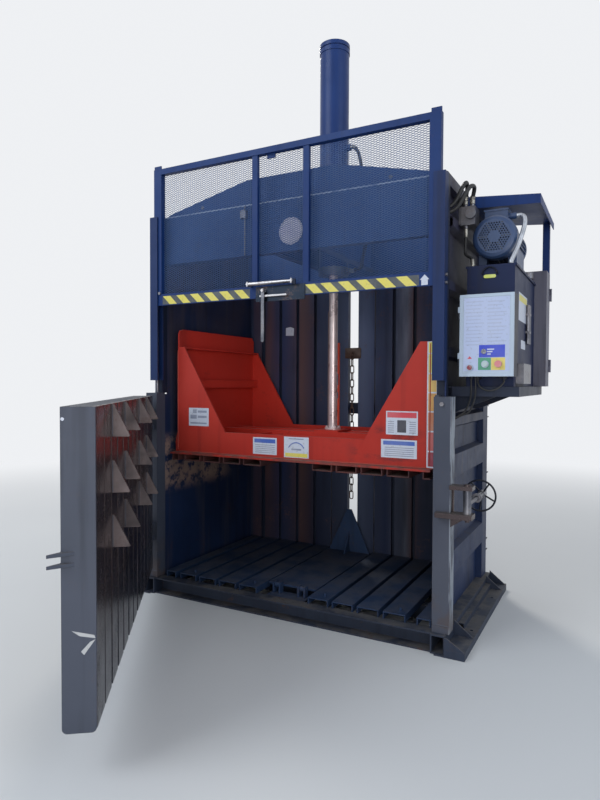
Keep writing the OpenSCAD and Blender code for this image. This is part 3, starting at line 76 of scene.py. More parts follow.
lamp("sky_front", (-3.5, -6.5, 6.0), (0, 0, 1.6), 5.0, 310, (0.86, 0.93, 1.0))
lamp("sky_right", (6.5, -2.0, 4.5), (0.4, 0, 1.6), 4.0, 90, (0.8, 0.9, 1.0))
lamp("ground_light", (3.0, -6.5, 1.0), (-0.3, 0, 1.2), 3.5, 170, (1.0, 0.96, 0.92))
lamp("sun_back", (-4.6, 6.4, 8.6), (0, 0.2, 1.6), 1.6, 420, (1.0, 0.96, 0.88))


class Wire:
    """A shader socket that takes part in Python sums; each operator adds one Math node."""

    def __init__(self, net, socket):
        self.net, self.socket = net, socket

    def _sum(self, operation, a, b):
        return self.net.node("ShaderNodeMath", {"operation": operation}, {0: a, 1: b})

    def __add__(self, other):
        return self._sum("ADD", self, other)

    __radd__ = __add__

    def __sub__(self, other):
        return self._sum("SUBTRACT", self, other)

    def __rsub__(self, other):
        return self._sum("SUBTRACT", other, self)

    def __mul__(self, other):
        return self._sum("MULTIPLY", self, other)

    __rmul__ = __mul__

    def __truediv__(self, other):
        return self._sum("DIVIDE", self, other)

    def over(self, low, high):
        """0 below low, 1 above high and a smooth step between them."""
        return self.net.node("ShaderNodeMapRange", {"interpolation_type": "SMOOTHSTEP"},
                             {"Value": self, "From Min": low, "From Max": high})


class Finish:
    """A material whose nodes are made by one method and read in the order they are mixed."""

    def __init__(self, name, **fixed):
        self.material = bpy.data.materials.new(name)
        self.material.use_nodes = True
        self.tree = self.material.node_tree
        self.shader = self.tree.nodes["Principled BSDF"]
        for socket, value in fixed.items():
            self.shader.inputs[socket.replace("_", " ")].default_value = value
        self.place = self.node("ShaderNodeTexCoord", out="Object")

    def node(self, kind, settings=None, values=None, out=0):
        """One node: its settings first, then numbers or wires for its sockets."""
        n = self.tree.nodes.new(kind)
        for key, value in (settings or {}).items():
            if key == "stops":
                while len(n.color_ramp.elements) < len(value):
                    n.color_ramp.elements.new(0.5)
                for element, (at, colour) in zip(n.color_ramp.elements, value):
                    element.position, element.color = at, colour
            else:
                setattr(n, key, value)
        for key, value in (values or {}).items():
            if isinstance(value, Wire):
                self.tree.links.new(value.socket, n.inputs[key])
            else:
                n.inputs[key].default_value = value
        return Wire(self, n.outputs[out])

    def noise(self, scale, detail=3.0, stretch=None, rough=0.55):
        place = self.place
        if stretch is not None:
            place = self.node("ShaderNodeMapping", {}, {"Vector": place, "Scale": stretch})
        return self.node("ShaderNodeTexNoise", {}, {"Vector": place, "Scale": scale, "Detail": detail,
                                                    "Roughness": rough})

    def axis(self, name):
        return self.node("ShaderNodeSeparateXYZ", {}, {0: self.place}, out=name)

    def facing(self, name):
        """How far the surface faces along one axis of the machine."""
        return self.node("ShaderNodeSeparateXYZ", {},
                         {0: self.node("ShaderNodeNewGeometry", out="Normal")}, out=name)

    def mix(self, factor, a, b):
        return self.node("ShaderNodeMix", {"data_type": "RGBA"}, {0: factor, 6: a, 7: b}, out=2)

    def edge(self, radius):
        """1 where the surface turns a corner within radius, 0 on its flats."""
        rounded = self.node("ShaderNodeBevel", {"samples": 4}, {"Radius": radius})
        flat = self.node("ShaderNodeNewGeometry", out="Normal")
        same = self.node("ShaderNodeVectorMath", {"operation": "DOT_PRODUCT"}, {0: rounded, 1: flat},
                         out="Value")
        return (1 - same).over(0.02, 0.2)

    def put(self, colour=None, rough=None, metal=None, height=None, depth=0.001, soften=None):
        """Lead wires or plain values to the shader; height raises the surface by depth, and
        soften rounds its corners."""
        for wire, socket in ((colour, "Base Color"), (rough, "Roughness"), (metal, "Metallic")):
            if isinstance(wire, Wire):
                self.tree.links.new(wire.socket, self.shader.inputs[socket])
            elif wire is not None:
                self.shader.inputs[socket].default_value = wire
        if height is not None:
            values = {"Height": height, "Distance": depth, "Strength": 1.0}
            if soften:
                values["Normal"] = self.node("ShaderNodeBevel", {"samples": 4}, {"Radius": soften})
            bump = self.node("ShaderNodeBump", {}, values)
            self.tree.links.new(bump.socket, self.shader.inputs["Normal"])
        return self.material


def tone(r, g, b):
    """A colour read as screen values from 0 to 255, as a linear colour."""
    v = np.array([r, g, b]) / 255
    v = np.where(v <= 0.04045, v / 12.92, ((v + 0.055) / 1.055) ** 2.4)
    return (*map(float, v), 1.0)


def wear(name, paint, pale, rust, dust=0.35, rusting=0.3, chips=0.6, streaks=0.3, rough=0.5, depth=0.0006,
         extra=None, gloss=0.22, metal=0.0):
    """Shop paint on welded steel: a cloudy paint tone, paler rubbed corners, rust through
    chips and seams, dirt that runs down upright faces and dust that lies on level ones."""
    f = Finish(name, Specular_IOR_Level=gloss, Metallic=metal)
    cloud = f.noise(1.3, 4.0)
    grain = f.noise(55, 4.0, rough=0.7)
    blotch = f.noise(6.5, 5.0, rough=0.65)
    runs = f.noise(7, 3.0, stretch=(2.4, 2.4, 0.16))
    colour = f.mix(cloud.over(0.3, 0.7), paint, pale)
    colour = f.mix(runs.over(0.5, 0.75) * streaks, colour, tone(22, 22, 27))
    level = f.facing("Z").over(0.6, 0.95)
    colour = f.mix(level * blotch.over(0.35, 0.6) * dust, colour, tone(122, 116, 108))
    if extra:
        colour = extra(f, colour)
    rim = f.edge(0.004)
    colour = f.mix(rim * grain.over(0.35, 0.6) * chips, colour, f.mix(blotch, pale, rust))
    spots = (blotch * 0.6 + grain * 0.4).over(0.56, 0.66) * rusting
    colour = f.mix(spots, colour, rust)
    dull = 0.35 * blotch + spots * 0.3 + level * 0.15 + (rough - 0.17)
    return f.put(colour, dull, height=grain * 0.5 + blotch * 0.4 - rim * 0.4, depth=depth, soften=0.0025)


def dress(material, *names):
    """Give the named CAD nodes one finish."""
    for name in names:
        mesh = nodes[name].data
        mesh.materials.clear()
        mesh.materials.append(material)


# Floor of the studio: a pale even ground that keeps the machine's shadow and fades, for the
# eye and for reflections, into the white of the backdrop between 2.4 and 8 m out.
ground = bpy.data.meshes.new("studio_floor")
reach = 40
corners = [(-reach, -reach, 0), (reach, -reach, 0), (reach, reach, 0), (-reach, reach, 0)]
ground.from_pydata(corners, [], [(0, 1, 2, 3)])
studio_floor = bpy.data.objects.new("studio_floor", ground)
bpy.context.collection.objects.link(studio_floor)
white = (0.86, 0.875, 0.9, 1)


def seeing(net):
    """1 for rays from the camera, reflected or passed through, 0 for those that only light."""
    kinds = [net.node("ShaderNodeLightPath", out=f"Is {kind} Ray")
             for kind in ("Camera", "Glossy", "Transmission")]
    return net.node("ShaderNodeClamp", {}, {"Value": kinds[0] + kinds[1] + kinds[2]})


pale = Finish("studio_pale")
cloudy = pale.noise(0.8)
pale.put(pale.mix(cloudy, tone(206, 206, 206), tone(212, 212, 211)), 0.9)
x, y = pale.axis("X"), pale.axis("Y")
fade = 7
far = ((x * x + y * y) / (fade * fade)).over(0.12, 1.3) * seeing(pale)
glow = pale.node("ShaderNodeEmission", {}, {"Color": white, "Strength": 1.0})
joined = pale.node("ShaderNodeMixShader", {}, {0: far, 2: glow})
pale.tree.links.new(pale.shader.outputs[0], joined.socket.node.inputs[1])
pale.tree.links.new(joined.socket, pale.tree.nodes["Material Output"].inputs["Surface"])
ground.materials.append(pale.material)


class Sky(Finish):
    """The world's light: a cool even sky that looks like the white backdrop to rays that see it."""

    def __init__(self):
        self.world = bpy.data.worlds.new("studio")
        self.world.use_nodes = True
        self.tree = self.world.node_tree


sky = Sky()
bpy.context.scene.world = sky.world
light = sky.node("ShaderNodeBackground", {}, {"Color": (0.80, 0.88, 1.0, 1), "Strength": 0.55})
backdrop = sky.node("ShaderNodeBackground", {}, {"Color": white, "Strength": 1.0})
both = sky.node("ShaderNodeMixShader", {}, {0: seeing(sky), 1: light, 2: backdrop})
sky.tree.links.new(both.socket, sky.tree.nodes["World Output"].inputs["Surface"])


def bare_steel(name, dark, light, rust, rough=0.38, metal=0.85, rusting=0.3, extra=None):
    """Bare metal: grey with fine grain, darker oily patches and a bloom of rust."""
    f = Finish(name)
    grain = f.noise(90, 4.0, rough=0.7)
    patch = f.noise(9, 4.0)
    colour = f.mix(patch.over(0.3, 0.7), dark, light)
    if extra:
        colour = extra(f, colour)
    spots = (patch * 0.5 + grain * 0.5).over(0.52, 0.62) * rusting
    colour = f.mix(spots, colour, rust)
    return f.put(colour, patch * 0.25 + spots * 0.3 + (rough - 0.12), metal - spots * metal,
                 height=grain, depth=0.0002, soften=0.0015)


# Hoses and cables. Two black pressure hoses run from the cylinder's ports through the gable
# and the side wall to the valve block, a thin one returns to the tank; the motor's conduit is
# silver, and the control box has a black loop under it and two leads to the wall.
anchor_y = 552


def route(points):
    """Drawing points in millimetres, with depths from the front of the chamber, as metres in
    the scene, whose origin lies anchor_y behind that front."""
    return (np.array(points, float) - (0, anchor_y, 0)) / 1000


def bent(points, steps=6):
    """A curve through the points, straight at both ends: between b and c, with neighbours a
    and d, P(s) = (2b + (c - a)s + (2a - 5b + 4c - d)s^2 + (3b - a - 3c + d)s^3) / 2."""
    halves = (points[:2].mean(0), points[-2:].mean(0))
    p = np.vstack([points[:1], points[:1], halves[:1], points[1:-1], halves[1:], points[-1:], points[-1:]])
    s = np.arange(steps)[:, None] / steps
    runs = [(2 * b + (c - a) * s + (2 * a - 5 * b + 4 * c - d) * s ** 2
             + (3 * b - a - 3 * c + d) * s ** 3) / 2 for a, b, c, d in zip(p, p[1:], p[2:], p[3:])]
    return np.vstack(runs + [p[-1:]])


def weave(rows, cols, loop=False):
    """Four-sided faces over a grid of rows x cols points whose columns close in a ring."""
    i, j = np.meshgrid(np.arange(rows - (not loop)), np.arange(cols), indexing="ij")
    k, n = (i + 1) % rows, (j + 1) % cols
    return np.stack([i * cols + j, i * cols + n, k * cols + n, k * cols + j], -1).reshape(-1, 4).tolist()


def sweep(path, radius, sides=12):
    """A tube: P(s, a) = path(s) + radius(s) (cos a n(s) + sin a b(s)), with n and b carried
    along the path without twist, and both ends closed."""
    way = np.gradient(path, axis=0)
    way /= np.linalg.norm(way, axis=1)[:, None]
    n = np.empty_like(path)
    last = np.eye(3)[np.argmin(np.abs(way[0]))]
    for i, t in enumerate(way):
        last = last - t * (last @ t)
        last = n[i] = last / np.linalg.norm(last)
    b = np.cross(way, n)
    a = np.linspace(0, 2 * math.pi, sides, endpoint=False)
    ring = np.cos(a)[None, :, None] * n[:, None] + np.sin(a)[None, :, None] * b[:, None]
    r = np.broadcast_to(radius, len(path))[:, None, None]
    ends = [list(range(sides))[::-1], list(range((len(path) - 1) * sides, len(path) * sides))]
    return (path[:, None] + r * ring).reshape(-1, 3), weave(len(path), sides) + ends


def gather(parts):
    """Several meshes as one: their points in a row, each part's faces moved on to match."""
    points, faces, start = [], [], 0
    for p, f in parts:
        points.append(p)
        faces += [[start + i for i in face] for face in f]
        start += len(p)
    return np.vstack(points), faces


def piece(name, shape, material, body="frame", smooth=True):
    """One visible piece from points and faces, riding on a body of the machine."""
    points, faces = shape
    mesh = bpy.data.meshes.new(name)
    mesh.from_pydata(points.tolist(), [], faces)
    mesh.polygons.foreach_set("use_smooth", [smooth] * len(faces))
    mesh.materials.append(material)
    obj = bpy.data.objects.new(name, mesh)
    bpy.context.collection.objects.link(obj)
    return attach(obj, body)


def part_of(path, start, end, steps=14):
    """The stretch of a path between two lengths along it, in equal steps; with a negative end
    both lengths count back from the path's far end."""
    s = np.concatenate([[0], np.cumsum(np.linalg.norm(np.diff(path, axis=0), axis=1))])
    want = np.linspace(start, end, steps) if end > 0 else np.linspace(s[-1] + end, s[-1] - start, steps)
    return np.stack([np.interp(want, s, path[:, k]) for k in range(3)], 1)


def length_of(path):
    """The length of a path, as the sum of its straight steps."""
    return float(np.linalg.norm(np.diff(path, axis=0), axis=1).sum())


rubber = Finish("hose_rubber")
grain = rubber.noise(160, 3.0)
dust = rubber.noise(14, 4.0).over(0.45, 0.75) * rubber.facing("Z").over(-0.2, 0.9)
rubber.put(rubber.mix(dust * 0.5, tone(22, 23, 26), tone(78, 76, 74)), grain * 0.25 + 0.45, height=grain,
           depth=0.0004)
crimp = bare_steel("crimp_zinc", tone(120, 118, 112), tone(168, 166, 158), tone(110, 84, 62), rough=0.35)
silver = bare_steel("conduit_silver", tone(150, 154, 162), tone(196, 200, 208), tone(120, 110, 100),
                    rough=0.35, rusting=0.1)

along = [(511.5, 150, 2322), (542.5, 112, 2307), (599.5, 103, 2299), (699.5, 103, 2297),
         (829.5, 103, 2297), (871.5, 109, 2297), (918.5, 136, 2297)]
hose_up = [(122.3, 750, 2960), (136, 750, 2960), (158, 744, 2948), (195, 720, 2890), (255, 630, 2740),
           (338, 470, 2560), (420.5, 320, 2430), (485.5, 215, 2360)] + along + [
    (954.5, 152, 2305), (984.5, 158, 2340), (1004.5, 176, 2395), (1014.5, 220, 2435), (1006.5, 284, 2428),
    (992.5, 311, 2372), (992.5, 311, 2344.3)]
hose_low = [(122.3, 750, 2135), (138, 750, 2135), (166, 736, 2135), (225, 690, 2140), (300, 540, 2170),
            (390.5, 370, 2215), (470.5, 235, 2280)] + [(x, y, z - 28) for x, y, z in along] + [
    (954.5, 150, 2275), (989.5, 156, 2300), (1021.5, 170, 2360), (1042.5, 205, 2408), (1046.5, 272, 2418),
    (1028.5, 311, 2372), (1028.5, 311, 2344.3)]
hose_tank = [(996.5, 311, 2215.7), (996.5, 311, 2180), (994.5, 306, 2110), (1001.5, 292, 2072),
             (1036.5, 270, 2044), (1044.5, 262, 2012), (1044.5, 262, 1990.3)]
for name, points, width in (("hose_up", hose_up, 22), ("hose_low", hose_low, 22),
                            ("hose_tank", hose_tank, 16)):
    path = bent(route(points))
    obj = piece(name, sweep(path, width / 2000, 16), rubber.material)
    ends = [part_of(path, 0.001, 0.045), part_of(path, 0.001, -0.045)]
    swell = width / 2000 + 0.0032 + 0.0006 * np.cos(np.linspace(0, 6 * math.pi, 14))
    sleeve = piece(name + "_ferrules", gather([sweep(e, swell, 16) for e in ends]), crimp)
    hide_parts("hydraulic_hoses")
    width / 1000
    name + "_ferrules"

conduit = [(1244.8, 405, 2280), (1254.5, 405, 2280), (1270.5, 399, 2276), (1286.5, 381, 2258),
           (1290.5, 351, 2207), (1274.5, 305, 2117), (1254.5, 267, 2047), (1242.5, 250, 2010),
           (1242.5, 250, 1990.3)]
loop = [(1104.5, 140, 1396.7), (1104.5, 140, 1383), (1120.5, 132, 1355), (1162.5, 126, 1339),
        (1208.5, 130, 1353), (1232.5, 140, 1383), (1232.5, 140, 1396.7)]
conduit_width, cable_width, rings = 25, 9, 420
cables = [("motor_conduit", conduit, conduit_width, silver), ("box_loop", loop, cable_width, rubber.material)]
for number, x in enumerate((1070.5, 1092.5)):
    lead = [(x, 140, 1396.7), (x, 140, 1381), (x, 142, 1337), (x - 10, 160, 1290), (x - 36, 170, 1230),
            (966.5, 192 + 0.5 * (x - 1154.5), 1180)]
    cables.append((f"box_lead_{number}", lead, cable_width, rubber.material))
for name, points, width, material in cables:
    path = bent(route(points))
    ribbed = width == conduit_width
    if ribbed:
        path = part_of(path, 0, length_of(path), rings)
        radius = 0.0125 - 0.0007 * (1 - np.cos(np.arange(rings) * math.pi / 3)) / 2
    else:
        radius = width / 2000
    obj = piece(name, sweep(path, radius, 14), material)
    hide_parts("electric_cables")
    width / 1000

# Base frame and feet: dark painted channels and square tube, scuffed and rusty along the
# front sill where the bales slide out.
sill = wear("sill_paint", tone(34, 40, 54), tone(48, 56, 72), tone(84, 62, 52), dust=0.4, rusting=0.6)
dress(sill, "base_frame", "foot_channels")

# Chamber floor: inverted channels with dusty worn tops, and the ejector plate between them.
deck = wear("deck_paint", tone(26, 42, 66), tone(40, 58, 88), tone(80, 66, 58), dust=0.2, rusting=0.3)
dress(deck, "floor_channels", "ejector_plate", "ejector_lugs")


# Posts: square tube in faded blue-grey paint. The right post's outer side carries a painted highlight,
# pale streaks for the sunlight on it, and each post has a foot full of old rust.
def post_highlight_and_rust(f, colour):
    # Painted highlight: pale streaks on the right post's outer side, for the sun that lights it.
    sunlit_streaks = f.axis("X").over(0.997, 1.003) * f.noise(24, 3.0, stretch=(1, 1, 0.2)).over(0.38, 0.55)
    colour = f.mix(sunlit_streaks * 0.7, colour, tone(150, 158, 168))
    low = (0.42 - f.axis("Z")).over(0.0, 0.35) * f.noise(9, 4.0).over(0.42, 0.62)
    return f.mix(low * 0.6, colour, tone(84, 70, 64))


post = wear("post_paint", tone(60, 65, 78), tone(74, 78, 90), tone(98, 78, 64), rusting=0.2, streaks=0.4,
            extra=post_highlight_and_rust)
dress(post, "door_posts", "hinge_knuckles")


def seam(points, radius=0.0035, pitch=0.006):
    """A weld bead along a line: a tube whose radius swells once a pitch,
    r(s) = radius (0.86 + 0.14 |cos(pi s / pitch)|)."""
    ends = np.array(points, float)
    count = max(6, int(length_of(ends) / pitch * 3))
    path = part_of(ends, 0, length_of(ends), count)
    s = np.arange(count) / 3
    r = radius * (0.86 + 0.14 * np.abs(np.cos(math.pi * s)))
    r[0] = r[-1] = radius * 0.5
    return sweep(path, r, 6)


# Weld beads: along the foot of each post, front and back, and across its cap.
bead = bare_steel("weld_bead", tone(58, 62, 74), tone(84, 88, 100), tone(92, 74, 62), rough=0.5, metal=0.3)
post_inner, post_outer, post_middle, post_depth = 914.5, 1004.5, 960.5, 80
foot, cap = 141, 1302
post_lines = [[(s * post_outer, y, foot), (s * post_inner, y, foot)]
              for s in (-1, 1) for y in (0, post_depth)]
post_lines += [[(s * post_middle, 0, cap), (s * post_middle, post_depth, cap)] for s in (-1, 1)]
piece("post_welds", gather([seam(route(p)) for p in post_lines]), bead)


# Side walls: sheet inside, ribs outside, in a dark navy paint, with a brown crust stuck to the
# left wall's inner face under the platen.
def wall_marks(f, colour):
    x, y, z = f.axis("X"), f.axis("Y"), f.axis("Z")
    inner_left = x.over(-0.9185, -0.9165) * (0 - x).over(0.0, 0.1)
    crust = (inner_left * z.over(0.62, 0.72) * (1.06 - z).over(0.0, 0.1) * (0.35 - y).over(0.0, 0.25)
             * f.noise(11, 5.0, rough=0.7).over(0.42, 0.54))
    colour = f.mix(crust * 0.9, colour, tone(136, 114, 104))
    scrape = f.noise(5, 4.0, stretch=(1, 3, 0.2)).over(0.5, 0.7)
    colour = f.mix(scrape * 0.35, colour, tone(70, 66, 70))
    return f.mix(z.over(1.1, 1.6) * f.noise(3, 3.0).over(0.25, 0.6) * 0.5, colour, tone(66, 58, 66))


wall = wear("wall_paint", tone(20, 34, 62), tone(30, 46, 80), tone(74, 52, 44), dust=0.1, rusting=0.4,
            streaks=0.5, extra=wall_marks)
dress(wall, "side_wall_left", "side_wall_right", "rear_posts")


# Rear wall: upright channels with tie slots between them and bars behind. Each channel has
# been rubbed differently, from brown steel to navy paint, in bands across the wall, and the wall
# is painted darker towards its foot, as painted shade low in the chamber.
def rear_bands_and_low_shade(f, colour):
    x = f.axis("X") + (f.noise(3, 3.0, stretch=(1, 1, 0.25)) - 0.5) * 0.03
    bands = [(-1.0, (36, 48, 80)), (-0.735, (92, 66, 68)), (-0.60, (42, 56, 96)), (-0.43, (88, 66, 66)),
             (-0.295, (34, 42, 68)), (-0.10, (62, 72, 96)), (0.08, (86, 98, 126)), (0.26, (42, 56, 92)),
             (0.405, (116, 122, 138)), (0.45, (96, 72, 72)), (0.56, (44, 56, 88)), (0.64, (34, 43, 70))]
    stops = [((at + 1) / 2, tone(*c)) for at, c in bands]
    painted = f.node("ShaderNodeValToRGB", {"stops": stops}, {0: x * 0.5 + 0.5})
    mask = f.noise(2.5, 4.0, stretch=(3, 1, 0.4)).over(0.3, 0.6)
    front_only = (0.557 - f.axis("Y")).over(0.0, 0.004)
    colour = f.mix((mask * 0.75 + 0.2) * front_only, colour, painted)
    # Painted shade: darker towards the foot of the wall, for the shade low in the chamber.
    return f.mix((0.95 - f.axis("Z")).over(0.0, 0.5) * 0.5, colour, tone(12, 16, 30))


rear = wear("rear_paint", tone(40, 48, 72), tone(56, 64, 88), tone(92, 68, 60), rusting=0.35, streaks=0.6,
            extra=rear_bands_and_low_shade)
dress(rear, "rear_channels")
# Rear ribs and the power shelf: a darker copy of the rear wall's paint, painted shade for the shade they
# stand in.
shade = wear("rib_paint_shaded", tone(26, 34, 52), tone(38, 46, 64), tone(80, 60, 50), rusting=0.35, streaks=0.5)
dress(shade, "rear_ribs", "power_shelf")

# Header, gables, rain roof, gate tracks, upper posts and cylinder beams: navy paint, cleaner
# than below and darkest on the posts. The header's top edge, above 2.45 m, carries a painted
# highlight in broken pale streaks; the round badge on the header is bare, with a faint ring.
navy = wear("navy_paint", tone(30, 61, 114), tone(40, 72, 126), tone(84, 76, 80), rusting=0.08, streaks=0.2,
            dust=0.2)
dress(navy, "gable_plates", "cylinder_beams")


def header_top_highlight(f, colour):
    """Painted highlight: the header's top edge, above 2.45 m, painted pale for the sunlight on it."""
    sunlit_edge = f.axis("Z").over(2.447, 2.450) * f.noise(12, 4.0).over(0.25, 0.5)
    return f.mix(sunlit_edge * 0.85, colour, tone(186, 198, 216))


header = wear("header_paint", tone(33, 63, 113), tone(43, 74, 125), tone(84, 76, 80), rusting=0.08,
              streaks=0.2, dust=0.2, extra=header_top_highlight)
dress(header, "header_plate")
track = wear("track_paint", tone(16, 36, 76), tone(24, 44, 86), tone(84, 72, 70), rusting=0.12, streaks=0.35)
dress(track, "gate_tracks")
upper = wear("upper_paint", tone(20, 28, 46), tone(28, 36, 56), tone(80, 62, 56), rusting=0.15, streaks=0.35)
dress(upper, "upper_posts")
roof = wear("roof_paint", tone(8, 40, 94), tone(16, 50, 106), tone(84, 70, 66), rusting=0.1, streaks=0.3,
            dust=0.5)
dress(roof, "rain_roof")


def plate(outline, place, thick, across=(1, 0, 0), soften=0.25):
    """An upright flat plate: rings P(k, i) = place + in(k) (x_i across + z_i up) + out(k) n, where
    in shrinks towards the outline's middle on the last ring and n is across x up; in mm."""
    flat = np.array(outline, float)
    middle = flat.mean(0)
    away = np.linalg.norm(flat - middle, axis=1)[:, None]
    inner = middle + (flat - middle) * (1 - soften / away)
    across, up = np.array(across, float), np.array((0, 0, 1.0))
    normal = np.cross(across, up)
    rings = [flat[:, :1] * across + flat[:, 1:] * up,
             flat[:, :1] * across + flat[:, 1:] * up + (thick - soften) * normal,
             inner[:, :1] * across + inner[:, 1:] * up + thick * normal]
    points = (np.vstack(rings) + np.array(place, float)) / 1000
    count = len(flat)
    ends = [list(range(count))[::-1], list(range(2 * count, 3 * count))]
    return points, weave(3, count) + ends


def front(outline, y, thick=0.6):
    """A plate on an upright face at depth y of the drawing, facing the front."""
    return plate(outline, (0, y - anchor_y, 0), thick)


def box_of(x0, x1, z0, z1):
    """The corners of a rectangle, counted so that its plate faces the front."""
    return [(x0, z0), (x1, z0), (x1, z1), (x0, z1)]


# Flat bars that close the slots between the outermost wall channels and the side walls: they stand in for the
# dark seen through these slots, as painted shade.
shut = [front(box_of(x0, x1, 102, 2145), 1138, 5) for x0, x1 in ((-914, -871.6), (897.6, 914))]
piece("corner_slot_bars", gather(shut), rear, smooth=False)


def ring_of(x, z, r, count=40):
    """A circle's outline: x + r cos a across and z + r sin a up."""
    a = np.linspace(0, 2 * math.pi, count, endpoint=False)
    return np.stack([x + r * np.cos(a), z + r * np.sin(a)], 1)


def vinyl(name, colour, fade=0.25, rough=0.42):
    """Printed film: its colour bleached in clouds, with fine scuffs and a grey film of dirt."""
    f = Finish(name)
    cloud = f.noise(9, 4.0)
    scuff = f.noise(70, 4.0, rough=0.7)
    c = f.mix(cloud.over(0.3, 0.75) * fade, colour, tone(196, 196, 196))
    c = f.mix(scuff.over(0.55, 0.72) * 0.45, c, tone(110, 106, 104))
    return f.put(c, cloud * 0.2 + (rough - 0.1), height=scuff, depth=0.0001)


film = vinyl("film_white", tone(186, 192, 206), fade=0.1)
grey_ink = vinyl("film_grey", tone(120, 128, 150), fade=0.3)
blue_ink = vinyl("film_blue", tone(62, 92, 168), fade=0.15)
red_ink = vinyl("film_red", tone(190, 62, 74), fade=0.1)
black_ink = vinyl("film_black", tone(44, 46, 60), fade=0.1)
yellow_ink = vinyl("film_yellow", tone(206, 194, 84), fade=0.1)
badge = vinyl("badge_bare", tone(166, 164, 184), fade=0.45)
badge_x, badge_z, badge_r = 38, 2262, 79
piece("badge", front(ring_of(badge_x, badge_z, badge_r), 74, 0.8), badge, smooth=False)


def hoop(path, radius, sides=6):
    """A closed ring of wire: P(s, a) = path(s) + radius (cos a n(s) + sin a m), where n points
    away from the middle of the flat path and m stands square to it."""
    way = np.roll(path, -1, 0) - np.roll(path, 1, 0)
    way /= np.linalg.norm(way, axis=1)[:, None]
    m = np.cross(path[0] - path.mean(0), path[len(path) // 4] - path.mean(0))
    m /= np.linalg.norm(m)
    n = np.cross(way, m)
    a = np.linspace(0, 2 * math.pi, sides, endpoint=False)[None, :, None]
    ring = np.cos(a) * n[:, None] - np.sin(a) * m
    return (path[:, None] + radius * ring).reshape(-1, 3), weave(len(path), sides, loop=True)


edge = ring_of(badge_x, badge_z, badge_r - 6, 60)
rim = route(np.column_stack([edge[:, 0], np.full(60, 73.0), edge[:, 1]]))
piece("badge_rim", hoop(rim, 0.0014), grey_ink)

# Cylinder, gland and ram rod: glossy blue barrel, dark gland and a chromed rod. The gland's
# worn steel is also that of the pull bar, the latch's rod and washer, the pump and the bolts.
tube = wear("cylinder_paint", tone(22, 48, 100), tone(32, 58, 112), tone(70, 60, 60), rusting=0.05,
            streaks=0.15, rough=0.35, dust=0.15)
dress(tube, "cylinder_barrel")
steel = bare_steel("worn_steel", tone(84, 86, 94), tone(128, 129, 136), tone(96, 70, 54))
dress(steel, "cylinder_gland", "gate_rod", "pull_bar", "latch_arm", "latch_washer", "wheel_hub", "pump",
      "frame_bolts", "limit_switch")
chrome = bare_steel("ram_chrome", tone(206, 190, 190), tone(226, 214, 214), tone(150, 112, 104), rough=0.3,
                    metal=0.45, rusting=0.12)
dress(chrome, "ram_rod")


# Feed gate: navy frame whose lower bar has slanted yellow bars and a white arrow, a chromed
# grip and a screen of expanded metal with cells 32 by 12 mm.
def rail_top_highlight(f, colour):
    # Painted highlight: the gate frame's upward faces above 2.742 m are painted pale for the light on them.
    lit_top = f.axis("Z").over(2.742, 2.746) * f.facing("Z").over(0.5, 0.9)
    return f.mix(lit_top * 0.6, colour, tone(150, 164, 190))


gate_paint = wear("gate_paint", tone(10, 40, 90), tone(20, 50, 102), tone(84, 70, 70), rusting=0.1,
                  streaks=0.2, dust=0.3, extra=rail_top_highlight)
dress(gate_paint, "gate_frame")


def grip_marks(f, colour):
    """The hand grip is bright; the plates that carry it are dark."""
    return f.mix(f.axis("Y").over(-0.5545, -0.5525), colour, tone(40, 48, 60))


grip = bare_steel("grip_chrome", tone(150, 148, 150), tone(206, 204, 206), tone(110, 84, 70), rough=0.3,
                  metal=0.9, rusting=0.4, extra=grip_marks)
dress(grip, "gate_handle")


def screen():
    """Expanded metal as zigzag strands: strand k has the points x_i = x0 + i dx and
    z_i = z0 + dz (k + (i + k) mod 2), each with a flat four-cornered section."""
    rows, steps, half, low, tall, depth = 127, 110, 0.8785, 1.9461, 0.7651, -0.5185
    corner = np.array([(-0.0012, -0.0008), (0.0012, -0.0008), (0.0012, 0.0008), (-0.0012, 0.0008)])
    i = np.arange(steps + 1)
    x = -half + i * (2 * half / steps)
    ends = [[3, 2, 1, 0], [4 * steps + j for j in range(4)]]
    strands = []
    for k in range(rows - 1):
        z = low + tall / rows * (k + (i + k) % 2)
        points = np.empty((steps + 1, 4, 3))
        points[..., 0] = x[:, None]
        points[..., 1] = depth + corner[:, 1]
        points[..., 2] = z[:, None] - corner[:, 0]
        strands.append((points.reshape(-1, 3), weave(steps + 1, 4) + ends))
    return gather(strands)


strand = wear("screen_paint", tone(58, 84, 128), tone(76, 102, 146), tone(110, 104, 106), rusting=0.1,
              streaks=0.1, dust=0.1, depth=0.0001)
mesh_piece = piece("gate_screen", screen(), strand, "gate", smooth=False)
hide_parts("gate_mesh")
bar_low, bar_high = 1878, 1932
bars = [-866, -756, -646, -538, -424, -314, 169, 266, 373, 480, 594, 705]
stripes = [[(x + 56, bar_low), (x + 114, bar_low), (x + 60, bar_high - 1), (x, bar_high - 1)] for x in bars]
dark_film = vinyl("film_dark", tone(46, 54, 60), fade=0.1)
band = [front(box_of(x0, x1, bar_low, bar_high), 6, 0.3) for x0, x1 in ((-868, -200), (165, 830))]
piece("gate_band", gather(band), dark_film, "gate", smooth=False)
piece("gate_stripes", gather([front(s, 5.7, 0.3) for s in stripes]), yellow_ink, "gate", smooth=False)
arrow = [(842, bar_low), (876, bar_low), (876, 1906), (884, 1906), (859, bar_high), (834, 1906), (842, 1906)]
piece("gate_arrow", front(arrow, 6, 0.5), film, "gate", smooth=False)


